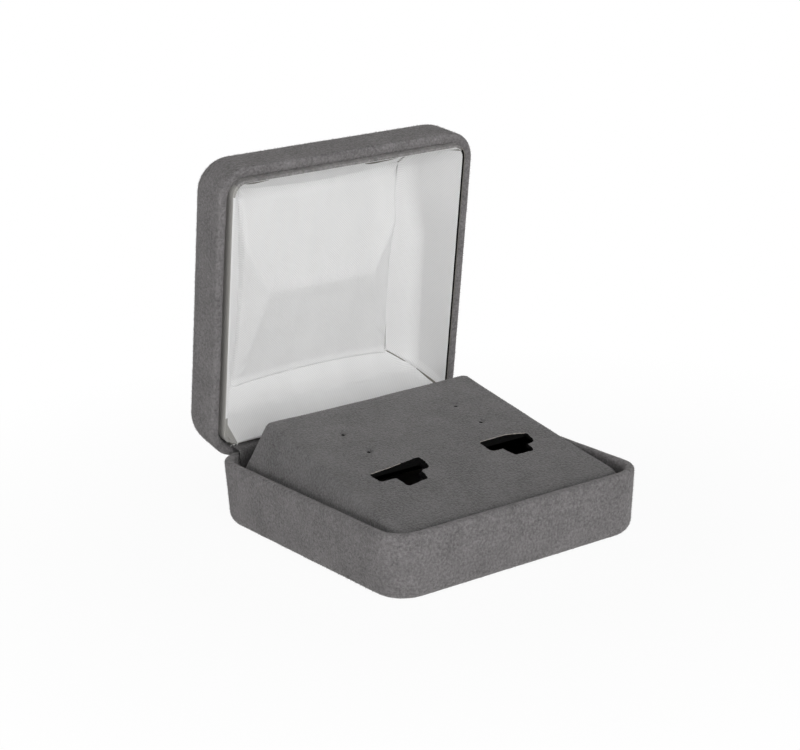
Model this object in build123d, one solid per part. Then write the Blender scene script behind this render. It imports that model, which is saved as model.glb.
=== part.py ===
from build123d import *
import math
import os

# Velour gift box: a hinged jewellery box for a pair of cufflinks or earrings, shown open.
# Frame: X to the right along the front, Y to the hinge at the rear, Z up, origin at the centre of the
# underside. The lid's pieces are modelled shut, then turned open about the hinge axis. Millimetres.

# Outside of the box
box_width = 70.0
box_depth = 70.0
base_height = 15.2
lid_height = 14.5
rim_gap = 0.3                   # between the two rims when shut
wall_draft = 1.5                # degrees that each wall leans in
rim_corner_radius = 7.2         # plan radius of the corners at the rim
far_corner_radius = 8.1         # and at the underside or the lid's top
base_edge_radius = 3.0          # round the underside
lid_edge_radius = 7.3           # round the lid's top
open_angle = 81.2               # degrees from shut to the stop

# Pressed shells and the velour over them
sheet = 0.5
velour = 0.5
hem_width = 1.1                 # the sheet folded back on itself at the rim
hem_depth = 6.0
turn_in = 0.4                   # velour glued inside the rim
turn_in_depth = 5.5
rim_round = 0.7                 # soft edges of the covered rim

# Hinge
hinge_inset = 0.6               # axis in front of the outer rear face
hinge_drop = 1.0                # axis below the base's rim
hinge_length = 30.0
middle_knuckle = 9.7
knuckle_gap = 0.15
pin_radius = 0.5
pin_clearance = 0.03
knuckle_wall = 0.42
leaf_sheet = 0.4
leaf_height = 6.5
leaf_crank = 2.0                # height of the arms between knuckle and leaf
leaf_step = 1.0                 # height over which an arm steps back to its leaf
arm_lap = 0.5                   # the arm runs this far into its leaf
arm_clearance = 0.2
pin_overhang = 0.2              # at each end of the knuckles
lid_leaf_width = 26.0
notch_clearance = 0.5
rivet_radius = 0.7
rivet_head_radius = 1.3
rivet_head_height = 0.45
rivet_head_round = 0.27
rivet_seat = 0.05               # the shank's end stops this far short of the velour
drill_clearance = 0.05
rivet_spread = 20.0
rivet_height = 2.4              # above the leaf's far edge
spring_sheet = 0.25
spring_width = 7.0
spring_foot = 1.2               # below the middle rivet
cam_clearance = 0.1

# Insert
floor_card = 0.6
card_margin = 0.25
insert_velour_wall = 0.5
former_wall = 0.8
insert_side_inset = 2.9         # foot of the bevels, from the outside of the box
insert_front_inset = 2.4
insert_rear_inset = 5.0
insert_foot_drop = 6.2          # foot of the bevels below the base's rim
insert_foot_radius = 5.0
insert_front_drop = 1.1         # front edge of the top below the base's rim
insert_top_slope = 0.22         # rise of the top towards the rear, per mm
front_bevel = 1.4               # run of each bevel, in plan
rear_bevel = 8.2
side_bevel_front = 1.3
side_bevel_rear = 3.8
insert_top_radius = 3.2
insert_edge_round = 2.4
insert_skirt_hem = 4.0          # lower edge of the velour skirt

# T slots for cufflinks, and holes for earring posts
slot_spread = 30.3
slot_shift = 0.85               # both slots are punched this far to the right
slot_bar_length = 13.4
slot_bar_width = 3.9
slot_stem_width = 6.0
slot_stem_length = 3.8
slot_stem_shift = 0.75
slot_rear = -7.7                # rear edge of the bar, along the sloping top
pin_hole_radius = 0.4
pin_hole_spread = 31.9
pin_hole_rows = (9.9, 0.65)
slot_cut_depth = 6.0
slot_lap = 0.5                  # stem and bar are cut this far into each other

# Lid lining: each wall leaves the back card nearly flat, then turns at a knee up to the rim
lining_proud = 0.9              # the lining stands this far past the lid's rim
lining_side_inset = 2.9         # outer face of the wall cards at the rim, from the outside of the lid
lining_front_inset = 2.8
lining_rear_inset = 3.5
lining_corner_radius = 3.4
knee_drop = 2.65                # knee below the back card
knee_side_inset_front = 6.5
knee_side_inset_rear = 4.35
knee_front_inset = 5.9
knee_rear_inset = 5.65
knee_corner_radius = 4.0
fold_side_inset = 12.5          # inner face at the fold, from the outside of the lid
fold_front_inset = 9.8
fold_rear_inset = 11.4
fold_corner_radius = 1.2
fold_draw_in = 1.1              # the puffed panel's sides are drawn in between its corners
wall_card = 0.5
wall_satin = 0.25
mitre_gap = 0.35
back_card = 0.6
back_card_margin = 2.0          # past the fold line of the puffed panel
back_card_radius = 3.6
panel_clearance = 0.2
panel_satin = 0.3
panel_crown = 2.3
panel_hip = 7.7                 # from each end of the crest to the fold
panel_ridge_half_width = 1.2
panel_ridge_round = 0.96
panel_ridge_place = 0.5         # the crest lies this far behind the middle

# Hinge strip
strip_thickness = 0.35
strip_side_inset = 5.6          # its ends, from the outside of the box
strip_foot_level = 3.0
strip_inset = 2.95              # its rear face, from the outer rear face of the base
strip_clear_of_rim = 1.15       # height of its middle over the base's rim, where it bends rearwards
strip_bend_radius = 1.6
strip_reach = 1.7               # how far its end lies behind the base
strip_rise = 0.4

overrun = 1.0                   # cutters run this far past what they cut
skim = 0.01                     # and this far into a face that they clear

# Worked out from the above
half_width = box_width / 2
half_depth = box_depth / 2
shut_rim = base_height + rim_gap
hinge_y = half_depth - hinge_inset
hinge_z = base_height - hinge_drop
hinge_axis = Axis((0, hinge_y, hinge_z), (1, 0, 0))
knuckle_radius = pin_radius + pin_clearance + knuckle_wall
leaf_front = half_depth - velour - hem_width - leaf_sheet
lid_ceiling = shut_rim + lid_height - velour - sheet
panel_base = lid_ceiling - back_card
lining_rim = shut_rim - lining_proud
lean = math.tan(math.radians(wall_draft))
strip_half_width = half_width - strip_side_inset
insert_foot_half_width = half_width - insert_side_inset
insert_foot_front = insert_front_inset - half_depth
insert_foot_rear = half_depth - insert_rear_inset
insert_foot_level = base_height - insert_foot_drop
insert_top_front = insert_foot_front + front_bevel
insert_top_rear = insert_foot_rear - rear_bevel
insert_top_at_middle = base_height - insert_front_drop - insert_top_slope * insert_top_front
fold_half_width = half_width - fold_side_inset
fold_front = fold_front_inset - half_depth
fold_rear = half_depth - fold_rear_inset
panel_ridge_half_length = fold_half_width - panel_hip


def opened(part):
    """The lid's pieces are modelled shut: turn one open about the hinge axis."""
    return part.rotate(hinge_axis, -open_angle)


def pressed_form(height, inset, edge_radius):
    """The box half's outer form moved in by inset: rim on z = 0, going down to the far face."""
    drop = height - inset
    shrink = 2 * (inset + height * lean)
    rim = RectangleRounded(box_width - 2 * inset, box_depth - 2 * inset, rim_corner_radius - inset)
    far = RectangleRounded(box_width - shrink, box_depth - shrink, far_corner_radius - inset)
    form = loft([Pos(0, 0, -drop) * far, rim], ruled=True)
    far_edges = form.edges().group_by(Axis.Z)[0]
    return fillet(far_edges, edge_radius - inset)


def band(outer_inset, inner_inset, top, bottom):
    """A ring between two insets of the rim outline, from z = top down to z = bottom."""
    rings = []
    for inset in (outer_inset, inner_inset):
        upper = RectangleRounded(box_width - 2 * inset, box_depth - 2 * inset, rim_corner_radius - inset)
        rings.append(Pos(0, 0, bottom) * extrude(upper, amount=top - bottom))
    return rings[0] - rings[1]


def shell_form(height, edge_radius):
    """Pressed steel half: one sheet thick, with a hem inside the rim. Rim plane of the cover on z = 0."""
    outside = pressed_form(height, velour, edge_radius)
    inside = pressed_form(height, velour + sheet, edge_radius)
    hem_inset = velour + hem_width
    hem = band(velour + sheet * 0.5, hem_inset, -velour, -velour - hem_depth)
    above = Pos(0, 0, -velour / 2) * Box(box_width, box_depth, velour)
    return (outside - inside) + (hem & outside) - above


def cover_form(height, edge_radius):
    """Velour round a pressed half: outside, over the rim and a little way down inside."""
    outside = pressed_form(height, 0, edge_radius)
    core = pressed_form(height, velour, edge_radius)
    above = Pos(0, 0, -velour / 2) * Box(box_width, box_depth, velour)
    hem_inset = velour + hem_width
    mouth = RectangleRounded(
        box_width - 2 * (hem_inset + turn_in),
        box_depth - 2 * (hem_inset + turn_in),
        rim_corner_radius - hem_inset - turn_in,
    )
    skin = outside - (core - above) - extrude(mouth, amount=-1.5 * velour)
    skin = skin + band(hem_inset, hem_inset + turn_in, -velour / 2, -velour - turn_in_depth)
    rim_edges = skin.edges().group_by(Axis.Z)[-1]
    return fillet(rim_edges, rim_round)


def base_half(part):
    return Pos(0, 0, base_height) * part


def lid_half(part):
    return Pos(0, 0, shut_rim) * mirror(part, about=Plane.XY)


def block(x_range, y_range, z_range):
    """Box from its ranges along X, Y and Z."""
    sizes = [high - low for low, high in (x_range, y_range, z_range)]
    middle = [(high + low) / 2 for low, high in (x_range, y_range, z_range)]
    return Pos(*middle) * Box(*sizes)


def rivet_drill(x, z, radius):
    """Hole along Y through leaf, hem and sheet."""
    tool = Cylinder(radius, 2 * (hem_width + leaf_sheet), rotation=(90, 0, 0))
    return Pos(x, leaf_front + leaf_sheet + hem_width / 2, z) * tool


def rivet(x, z, grip_front):
    """Rivet along Y: domed head inside the box, shank flush with the sheet's outer face."""
    sheet_face = half_depth - velour
    shank_end = sheet_face - abs(z - base_height) * lean - rivet_seat
    shank = Pos(x, (grip_front + shank_end) / 2, z) * Cylinder(
        rivet_radius, shank_end - grip_front, rotation=(90, 0, 0)
    )
    head = Pos(x, grip_front - rivet_head_height / 2, z) * Cylinder(
        rivet_head_radius, rivet_head_height, rotation=(90, 0, 0)
    )
    rim = head.edges().group_by(Axis.Y)[0]
    return shank + fillet(rim, rivet_head_round)


# Levels of the hinge leaves and their rivets
base_leaf_top = hinge_z - leaf_crank
base_leaf_foot = base_leaf_top - leaf_height
lid_leaf_foot = hinge_z + leaf_crank
lid_leaf_top = lid_leaf_foot + leaf_height
base_rivet_z = base_leaf_top - rivet_height
lid_rivet_z = lid_leaf_foot + rivet_height
rivet_xs = (-rivet_spread / 2, rivet_spread / 2)


def leaf_arm(direction):
    """Section of a knuckle with its arm, in the YZ plane: the arm goes down (-1) or up (+1)."""
    barrel_face = hinge_y - knuckle_radius
    leaf_edge = hinge_z + direction * leaf_crank
    crank_start = hinge_z + direction * (leaf_crank - leaf_step)
    arm = Polyline(
        (hinge_y - pin_radius - pin_clearance, hinge_z),
        (barrel_face, hinge_z),
        (barrel_face, crank_start),
        (leaf_front, leaf_edge),
        (leaf_front, leaf_edge + direction * arm_lap),
        (leaf_front + leaf_sheet, leaf_edge + direction * arm_lap),
        (leaf_front + leaf_sheet, leaf_edge),
        (barrel_face + leaf_sheet, crank_start),
        close=True,
    )
    barrel = Pos(hinge_y, hinge_z) * Circle(knuckle_radius)
    bore = Pos(hinge_y, hinge_z) * Circle(pin_radius + pin_clearance)
    return make_face(arm) + barrel - bore


def cam_section():
    """The squared corner of the lid's knuckle, between its two flats, with the lid shut."""
    reach = knuckle_radius * math.tan(math.radians(open_angle / 2))
    flat_face = hinge_y - knuckle_radius
    second = math.radians(180 + open_angle)
    corner = Polyline(
        (hinge_y, hinge_z),
        (flat_face, hinge_z),
        (flat_face, hinge_z - reach),
        (hinge_y + knuckle_radius * math.cos(second), hinge_z + knuckle_radius * math.sin(second)),
        close=True,
    )
    bore = Pos(hinge_y, hinge_z) * Circle(pin_radius + pin_clearance)
    return make_face(corner) - bore


def along_hinge(section, low, high):
    """Extrude a YZ section along the hinge from x = low to x = high."""
    return Pos(low, 0, 0) * extrude(Plane.YZ * section, amount=high - low)


# Base: shell, velour, floor card
notch_half = hinge_length / 2 + notch_clearance
base_notch = block(
    (-notch_half, notch_half),
    (leaf_front - turn_in, half_depth + overrun),
    (base_leaf_top, base_height + overrun),
)
base_leaf_seat = block(
    (-notch_half, notch_half),
    (leaf_front - skim, leaf_front + leaf_sheet),
    (base_height - velour - hem_depth, base_height),
)
base_drills = [rivet_drill(x, base_rivet_z, rivet_radius + drill_clearance) for x in (0, *rivet_xs)]

base_shell = base_half(shell_form(base_height, base_edge_radius)) - base_notch - base_drills
base_velour = base_half(cover_form(base_height, base_edge_radius)) - base_notch - base_leaf_seat

floor_top = velour + sheet + floor_card
floor_inset = base_height * lean + base_edge_radius + card_margin
base_floor_card = Pos(0, 0, velour + sheet) * extrude(
    RectangleRounded(
        box_width - 2 * floor_inset, box_depth - 2 * floor_inset, far_corner_radius - floor_inset / 2
    ),
    amount=floor_card,
)

# Lid: shell and velour, with a notch inside the rear rim for the lid leaf's arm
lid_notch_half = middle_knuckle / 2 + notch_clearance
lid_notch = block(
    (-lid_notch_half, lid_notch_half),
    (leaf_front - turn_in, hinge_y - knuckle_radius + leaf_sheet + arm_clearance),
    (shut_rim - overrun, lid_leaf_foot + arm_clearance),
)
lid_leaf_half = lid_leaf_width / 2 + notch_clearance
lid_leaf_seat = block(
    (-lid_leaf_half, lid_leaf_half),
    (leaf_front - skim, leaf_front + leaf_sheet),
    (lid_leaf_foot - arm_clearance, lid_leaf_top + overrun),
)
lid_drills = [rivet_drill(x, lid_rivet_z, rivet_radius + drill_clearance) for x in rivet_xs]
lid_shell = lid_half(shell_form(lid_height, lid_edge_radius)) - lid_notch - lid_drills
lid_velour = lid_half(cover_form(lid_height, lid_edge_radius)) - lid_notch - lid_leaf_seat

# Hinge
middle_half = middle_knuckle / 2
outer_low = middle_half + knuckle_gap
outer_high = hinge_length / 2
base_leaf_plate = block(
    (-outer_high, outer_high), (leaf_front, leaf_front + leaf_sheet), (base_leaf_foot, base_leaf_top)
)
base_arm = leaf_arm(-1)
base_hinge_leaf = base_leaf_plate + along_hinge(base_arm, outer_low, outer_high)
base_hinge_leaf = base_hinge_leaf + along_hinge(base_arm, -outer_high, -outer_low) - base_drills

lid_leaf_plate = block(
    (-lid_leaf_width / 2, lid_leaf_width / 2),
    (leaf_front, leaf_front + leaf_sheet),
    (lid_leaf_foot, lid_leaf_top),
)
lid_hinge_leaf = lid_leaf_plate + along_hinge(leaf_arm(1), -middle_half, middle_half)
lid_hinge_leaf = lid_hinge_leaf + along_hinge(cam_section(), -middle_half, middle_half) - lid_drills

hinge_pin = Pos(0, hinge_y, hinge_z) * Cylinder(
    pin_radius, hinge_length + 2 * pin_overhang, rotation=(0, 90, 0)
)

spring_top = hinge_z + knuckle_radius * math.tan(math.radians(open_angle / 2)) - cam_clearance
hinge_spring = block(
    (-spring_width / 2, spring_width / 2),
    (leaf_front - spring_sheet, leaf_front),
    (base_rivet_z - rivet_head_radius - spring_foot, spring_top),
)
hinge_spring = hinge_spring - base_drills[0]

base_hinge_rivets = [rivet(x, base_rivet_z, leaf_front) for x in rivet_xs]
base_hinge_rivets.append(rivet(0, base_rivet_z, leaf_front - spring_sheet))
lid_hinge_rivets = [rivet(x, lid_rivet_z, leaf_front) for x in rivet_xs]

# Insert: a wedge that rises to the rear, with bevelled sides
top_cos = math.cos(math.atan(insert_top_slope))


def insert_plane(inset):
    """The insert's sloping top, moved down square to itself by inset."""
    origin = (0, 0, insert_top_at_middle - inset / top_cos)
    return Plane(origin=origin, x_dir=(1, 0, 0), z_dir=(0, -insert_top_slope, 1))


def insert_form(inset, foot_level):
    """The wedge moved in by inset, standing on foot_level."""
    foot_depth = insert_foot_rear - insert_foot_front - 2 * inset
    foot_middle = (insert_foot_rear + insert_foot_front) / 2
    foot = RectangleRounded(
        2 * (insert_foot_half_width - inset), foot_depth, insert_foot_radius - inset
    )
    foot = Pos(0, foot_middle, 0) * foot
    front = (insert_top_front + inset) / top_cos
    rear = (insert_top_rear - inset) / top_cos
    front_half = insert_foot_half_width - side_bevel_front - inset
    rear_half = insert_foot_half_width - side_bevel_rear - inset
    outline = Polyline(
        (-front_half, front), (front_half, front), (rear_half, rear), (-rear_half, rear), close=True
    )
    top = make_face(outline)
    top = fillet(top.vertices(), insert_top_radius - inset)
    wedge = loft([Pos(0, 0, insert_foot_level) * foot, insert_plane(inset) * top], ruled=True)
    top_face = wedge.faces().sort_by(Axis.Z)[-1]
    wedge = fillet(top_face.edges(), insert_edge_round - inset)
    skirt = Pos(0, 0, foot_level) * extrude(foot, amount=insert_foot_level - foot_level)
    return wedge + skirt


def slot_cutters():
    """T slots and pin holes, cut square to the sloping top."""
    bar_v = slot_rear - slot_bar_width / 2
    stem_v = slot_rear - slot_bar_width - slot_stem_length / 2
    cutters = []
    for side in (-1, 1):
        middle = side * slot_spread / 2 + slot_shift
        bar = Pos(middle, bar_v) * Rectangle(slot_bar_length, slot_bar_width)
        stem = Pos(middle + slot_stem_shift, stem_v + slot_lap) * Rectangle(
            slot_stem_width, slot_stem_length + 2 * slot_lap
        )
        tee = bar + stem
        cutters.append(extrude(insert_plane(0) * tee, amount=-slot_cut_depth))
        for row in pin_hole_rows:
            hole = Pos(side * pin_hole_spread / 2, row) * Circle(pin_hole_radius)
            cutters.append(extrude(insert_plane(0) * hole, amount=-slot_cut_depth))
    return cutters


cutters = slot_cutters()
wedge_outside = insert_form(0, insert_skirt_hem)
former_outside = insert_form(insert_velour_wall, floor_top)
former_inside = insert_form(insert_velour_wall + former_wall, floor_top - overrun)
insert_velour = wedge_outside - insert_form(insert_velour_wall, insert_skirt_hem - overrun) - cutters
insert_former = former_outside - former_inside - cutters


# Lid lining: four bowed walls round a puffed panel, modelled shut
def lining_rim_outline(inset):
    """Outer outline at the lining's rim, moved in by inset."""
    front = lining_front_inset + inset - half_depth
    rear = half_depth - lining_rear_inset - inset
    outline = RectangleRounded(
        2 * (half_width - lining_side_inset - inset), rear - front, lining_corner_radius - inset
    )
    return Pos(0, (front + rear) / 2, lining_rim) * outline


def knee_outline(inset):
    """Outer outline at the knee, moved in by inset: wider at the rear, to clear the insert."""
    front = knee_front_inset + inset - half_depth
    rear = half_depth - knee_rear_inset - inset
    front_half = half_width - knee_side_inset_front - inset
    rear_half = half_width - knee_side_inset_rear - inset
    outline = Polyline(
        (-front_half, front), (front_half, front), (rear_half, rear), (-rear_half, rear), close=True
    )
    face = make_face(outline)
    return Pos(0, 0, panel_base - knee_drop) * fillet(face.vertices(), knee_corner_radius - inset)


def drawn_outline(half, front, rear, radius):
    """Rectangle whose four sides bow inwards, with small round corners."""
    middle = (front + rear) / 2
    sides = [
        ThreePointArc((-half, front), (0, front + fold_draw_in), (half, front)),
        ThreePointArc((half, front), (half - fold_draw_in, middle), (half, rear)),
        ThreePointArc((half, rear), (0, rear - fold_draw_in), (-half, rear)),
        ThreePointArc((-half, rear), (-half + fold_draw_in, middle), (-half, front)),
    ]
    face = make_face(Wire([side.edge() for side in sides]))
    return fillet(face.vertices(), radius)


def fold_outline(outset):
    """Inner outline at the fold, moved out by outset, on the back card's face."""
    return Pos(0, 0, panel_base) * drawn_outline(
        fold_half_width + outset, fold_front - outset, fold_rear + outset, fold_corner_radius + outset
    )


def lining_funnel(inset):
    """Solid inside the lining's outer face moved in, and down off the back card, by inset."""
    fold = fold_outline(wall_card + wall_satin - inset)
    bowl = Pos(0, 0, -inset) * loft([lining_rim_outline(inset), knee_outline(inset), fold], ruled=True)
    if inset > 0:
        bowl = bowl + Pos(0, 0, -inset) * extrude(fold, amount=inset)
    return bowl


def mitre_line(rim_inset, fold_y):
    """Slope in plan, and distance from the middle, of the mitres through two corners and folds."""
    slope = (half_depth - rim_inset - abs(fold_y)) / (half_width - lining_side_inset - fold_half_width)
    return slope, abs(fold_y) - slope * fold_half_width


def wall_sector(side):
    """Region of one wall, out to its mitres with the next two."""
    reach = box_width
    front_slope, front_start = mitre_line(lining_front_inset, fold_front)
    rear_slope, rear_start = mitre_line(lining_rear_inset, fold_rear)
    if side in ("left", "right"):
        sign = -1 if side == "left" else 1
        points = [
            (0, -front_start),
            (sign * reach, -front_start - front_slope * reach),
            (sign * reach, rear_start + rear_slope * reach),
            (0, rear_start),
        ]
    else:
        sign = -1 if side == "front" else 1
        start, slope = (front_start, front_slope) if side == "front" else (rear_start, rear_slope)
        near = sign * (start + mitre_gap)
        far = sign * (start + mitre_gap + slope * reach)
        points = [(0, near), (reach, far), (-reach, far)]
    sector = make_face(Polyline(*points, close=True))
    return Pos(0, 0, lining_rim) * extrude(sector, amount=panel_base - lining_rim)


card_ring = lining_funnel(0) - lining_funnel(wall_card)
satin_ring = lining_funnel(wall_card) - lining_funnel(wall_card + wall_satin)
lining_walls = {}
for side in ("left", "right", "front", "rear"):
    sector = wall_sector(side)
    lining_walls["lid_wall_card_" + side] = card_ring & sector
    lining_walls["lid_wall_satin_" + side] = satin_ring & sector

lid_back_card = Pos(0, (fold_front + fold_rear) / 2, panel_base) * extrude(
    RectangleRounded(
        2 * (fold_half_width + back_card_margin),
        fold_rear - fold_front + 2 * back_card_margin,
        back_card_radius,
    ),
    amount=back_card,
)


def pillow(skin):
    """Hipped cushion on the back card: its crest runs along X. skin is taken off all over."""
    border = drawn_outline(
        fold_half_width - panel_clearance - skin,
        fold_front + panel_clearance + skin,
        fold_rear - panel_clearance - skin,
        fold_corner_radius,
    )
    ridge = RectangleRounded(2 * panel_ridge_half_length, 2 * panel_ridge_half_width, panel_ridge_round)
    crest = panel_base - panel_crown + skin
    return loft([Pos(0, panel_ridge_place, crest) * ridge, Pos(0, 0, panel_base) * border], ruled=True)


lid_wadding = pillow(panel_satin)
lid_satin_panel = pillow(0) - lid_wadding

# Velour strip over the hinge, in the open pose: up the base's rear wall, then into the lid
strip_y = half_depth - strip_inset - strip_thickness / 2
strip_bend = base_height + strip_clear_of_rim
strip_path = FilletPolyline(
    (strip_y, strip_foot_level),
    (strip_y, strip_bend),
    (half_depth + strip_reach, strip_bend + strip_rise),
    radius=strip_bend_radius,
)
strip_ribbon = offset(strip_path, amount=strip_thickness / 2, side=Side.BOTH)
hinge_strip = along_hinge(make_face(strip_ribbon), -strip_half_width, strip_half_width)

nodes = {
    "base_shell": base_shell,
    "base_velour": base_velour,
    "base_floor_card": base_floor_card,
    "base_hinge_leaf": base_hinge_leaf,
    "base_hinge_rivets": Compound(children=base_hinge_rivets),
    "hinge_pin": hinge_pin,
    "hinge_spring": hinge_spring,
    "hinge_strip": hinge_strip,
    "insert_former": insert_former,
    "insert_velour": insert_velour,
    "lid_shell": opened(lid_shell),
    "lid_velour": opened(lid_velour),
    "lid_hinge_leaf": opened(lid_hinge_leaf),
    "lid_hinge_rivets": opened(Compound(children=lid_hinge_rivets)),
    "lid_back_card": opened(lid_back_card),
    "lid_wadding": opened(lid_wadding),
    "lid_satin_panel": opened(lid_satin_panel),
}
for name, wall in lining_walls.items():
    nodes[name] = opened(wall)

os.makedirs("parts", exist_ok=True)
for name, part in nodes.items():
    export_step(part, os.path.join("parts", name + ".step"))
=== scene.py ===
import logging
import math
from dataclasses import dataclass, field
from enum import Enum, IntEnum

import bmesh
import bpy
import numpy as np
from mathutils import Matrix, Vector, noise


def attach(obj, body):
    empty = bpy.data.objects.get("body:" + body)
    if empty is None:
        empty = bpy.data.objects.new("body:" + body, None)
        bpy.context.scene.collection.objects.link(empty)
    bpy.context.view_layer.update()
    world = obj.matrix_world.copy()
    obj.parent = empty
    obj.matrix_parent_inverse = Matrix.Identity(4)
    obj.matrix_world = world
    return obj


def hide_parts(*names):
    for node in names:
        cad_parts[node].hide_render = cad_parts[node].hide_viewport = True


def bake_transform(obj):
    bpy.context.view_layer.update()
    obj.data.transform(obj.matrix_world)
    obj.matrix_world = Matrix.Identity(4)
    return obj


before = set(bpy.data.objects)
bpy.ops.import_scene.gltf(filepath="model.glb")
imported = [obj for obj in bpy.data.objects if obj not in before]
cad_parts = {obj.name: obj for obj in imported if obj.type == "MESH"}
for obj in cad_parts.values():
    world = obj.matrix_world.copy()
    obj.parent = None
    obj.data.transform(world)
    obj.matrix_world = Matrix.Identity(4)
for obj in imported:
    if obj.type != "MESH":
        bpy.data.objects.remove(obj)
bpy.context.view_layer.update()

# Looks of the velour gift box. Sizes are in millimetres, angles in degrees and meshes in metres.
# The lid's pieces are made shut, then turned open about the hinge axis, as in the real box.

MM = 0.001
BOX_HALF = 35.0
HINGE_Y = 34.4
HINGE_Z = 14.2
OPEN_ANGLE = 81.2
WEAVE_MAP = "weave"
WHITE = (1.0, 1.0, 1.0, 1.0)

Piece = bpy.types.Object
Material = bpy.types.Material
Triple = tuple[float, float, float]
Colour = Triple
Block = tuple[float, float, float, float, float]

log = logging.getLogger("gift_box")


class Body(Enum):
    """The two bodies that the pieces ride on."""

    BASE = "base"
    LID = "lid"


class Slot(Enum):
    """The record's material slots of the fabric pieces."""

    BOX_VELOUR = "box_velour"
    INSERT_VELOUR = "insert_velour"
    STRIP_VELOUR = "strip_velour"
    WADDING = "wadding"
    SATIN = "satin"


class Wall(Enum):
    """The lining's walls, in the order in which an outline passes them."""

    FRONT = 0
    RIGHT = 1
    REAR = 2
    LEFT = 3


class Face(IntEnum):
    """Material numbers of a velour cover's faces; bare ones are velour without standing pile."""

    PILE = 0
    # Back faces take the nearly black backing, which is painted shade where they are cut faces.
    BACK = 1
    BARE = 2


# Node trees


@dataclass(frozen=True)
class Signal:
    """One output socket, on which sums are written as Python expressions."""

    builder: "TreeBuilder"
    socket: bpy.types.NodeSocket

    def _sum(self, operation: str, first: object, second: object = 0.0) -> "Signal":
        """Adds a Math node for one operation on two terms."""
        return self.builder.node("ShaderNodeMath", {"operation": operation}, {0: first, 1: second})

    def __add__(self, other: object) -> "Signal":
        """Sum of two terms."""
        return self._sum("ADD", self, other)

    __radd__ = __add__

    def __sub__(self, other: object) -> "Signal":
        """Difference of two terms."""
        return self._sum("SUBTRACT", self, other)

    def __rsub__(self, other: object) -> "Signal":
        """Difference with this one as the second term."""
        return self._sum("SUBTRACT", other, self)

    def __mul__(self, other: object) -> "Signal":
        """Product of two terms."""
        return self._sum("MULTIPLY", self, other)

    __rmul__ = __mul__

    def sine(self) -> "Signal":
        """Sine of this term, in radians."""
        return self._sum("SINE", self)

    def clamped(self) -> "Signal":
        """This term kept between 0 and 1."""
        return self.builder.node("ShaderNodeClamp", {}, {"Value": self})


class TreeBuilder:
    """Adds nodes to one tree."""

    def __init__(self, tree: bpy.types.NodeTree) -> None:
        """Keeps the tree that the nodes go into."""
        self.tree = tree

    def node(self, kind: str, settings: dict, sockets: dict, output: object = 0) -> Signal:
        """Adds a node of any kind.

        Args:
            kind: the node's type.
            settings: its properties, set first.
            sockets: a value or a Signal for each input, by name or number.
            output: name or number of the output to hand back.

        Returns:
            The output as a Signal.
        """
        made = self.tree.nodes.new(kind)
        for key, value in settings.items():
            setattr(made, key, value)
        for key, value in sockets.items():
            if isinstance(value, Signal):
                self.tree.links.new(value.socket, made.inputs[key])
            else:
                made.inputs[key].default_value = value
        return Signal(self, made.outputs[output] if made.outputs else None)


class Paint(TreeBuilder):
    """One material while its nodes are laid out."""

    def __init__(self, name: str) -> None:
        """Starts an empty material."""
        self.material = bpy.data.materials.new(name)
        self.material.use_nodes = True
        self.material.node_tree.nodes.clear()
        super().__init__(self.material.node_tree)
        self.place = self.node("ShaderNodeTexCoord", {}, {}, "Object")

    def grain(self, size: float, detail: float, stretch: Triple | None = None) -> Signal:
        """Noise on the object's coordinates.

        Args:
            size: about how wide its spots are, in millimetres.
            detail: levels of finer noise in it.
            stretch: factors on the coordinates, where the spots aren't round.

        Returns:
            The noise.
        """
        place = self.place
        if stretch:
            product = {"operation": "MULTIPLY"}
            place = self.node("ShaderNodeVectorMath", product, {0: place, 1: stretch})
        sockets = {"Vector": place, "Scale": 1.0 / (size * MM), "Detail": detail}
        return self.node("ShaderNodeTexNoise", {}, sockets, "Fac")

    def contrast(self, signal: Signal, low: float = 0.3, high: float = 0.7) -> Signal:
        """Spreads the range from low to high over 0 to 1."""
        sockets = {"Value": signal, "From Min": low, "From Max": high}
        return self.node("ShaderNodeMapRange", {"clamp": True}, sockets)

    def blend(self, factor: Signal, first: object, second: object) -> Signal:
        """Colour between two colours."""
        ends = [(*end, 1.0) if isinstance(end, tuple) else end for end in (first, second)]
        sockets = {0: factor, 6: ends[0], 7: ends[1]}
        return self.node("ShaderNodeMix", {"data_type": "RGBA"}, sockets, 2)

    def relief(self, height: Signal, depth: float, strength: float = 1.0) -> Signal:
        """Bump from a height of 0 to 1 that stands for depth millimetres."""
        sockets = {"Strength": strength, "Distance": depth * MM, "Height": height}
        return self.node("ShaderNodeBump", {}, sockets, "Normal")

    def finish(self, **sockets: object) -> Material:
        """Closes the material with one Principled shader.

        Args:
            sockets: values or Signals by the socket's name, with _ for each space.

        Returns:
            The material.
        """
        named = {key.replace("_", " "): value for key, value in sockets.items()}
        shader = self.node("ShaderNodeBsdfPrincipled", {}, named)
        self.node("ShaderNodeOutputMaterial", {}, {"Surface": shader})
        return self.material


# Finishes


@dataclass(frozen=True)
class Finish:
    """What every finish has: its material's name and main colour."""

    name: str
    colour: Colour

    def shade(self, factor: float) -> Colour:
        """The colour made lighter or darker by a factor."""
        return tuple(channel * factor for channel in self.colour)

    def material(self) -> Material:
        """Builds the material."""
        paint = Paint(self.name)
        return paint.finish(**self.sockets(paint))

    def sockets(self, paint: Paint) -> dict:
        """What the shader's sockets get: each finish has its own."""
        raise NotImplementedError(self.name)


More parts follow.
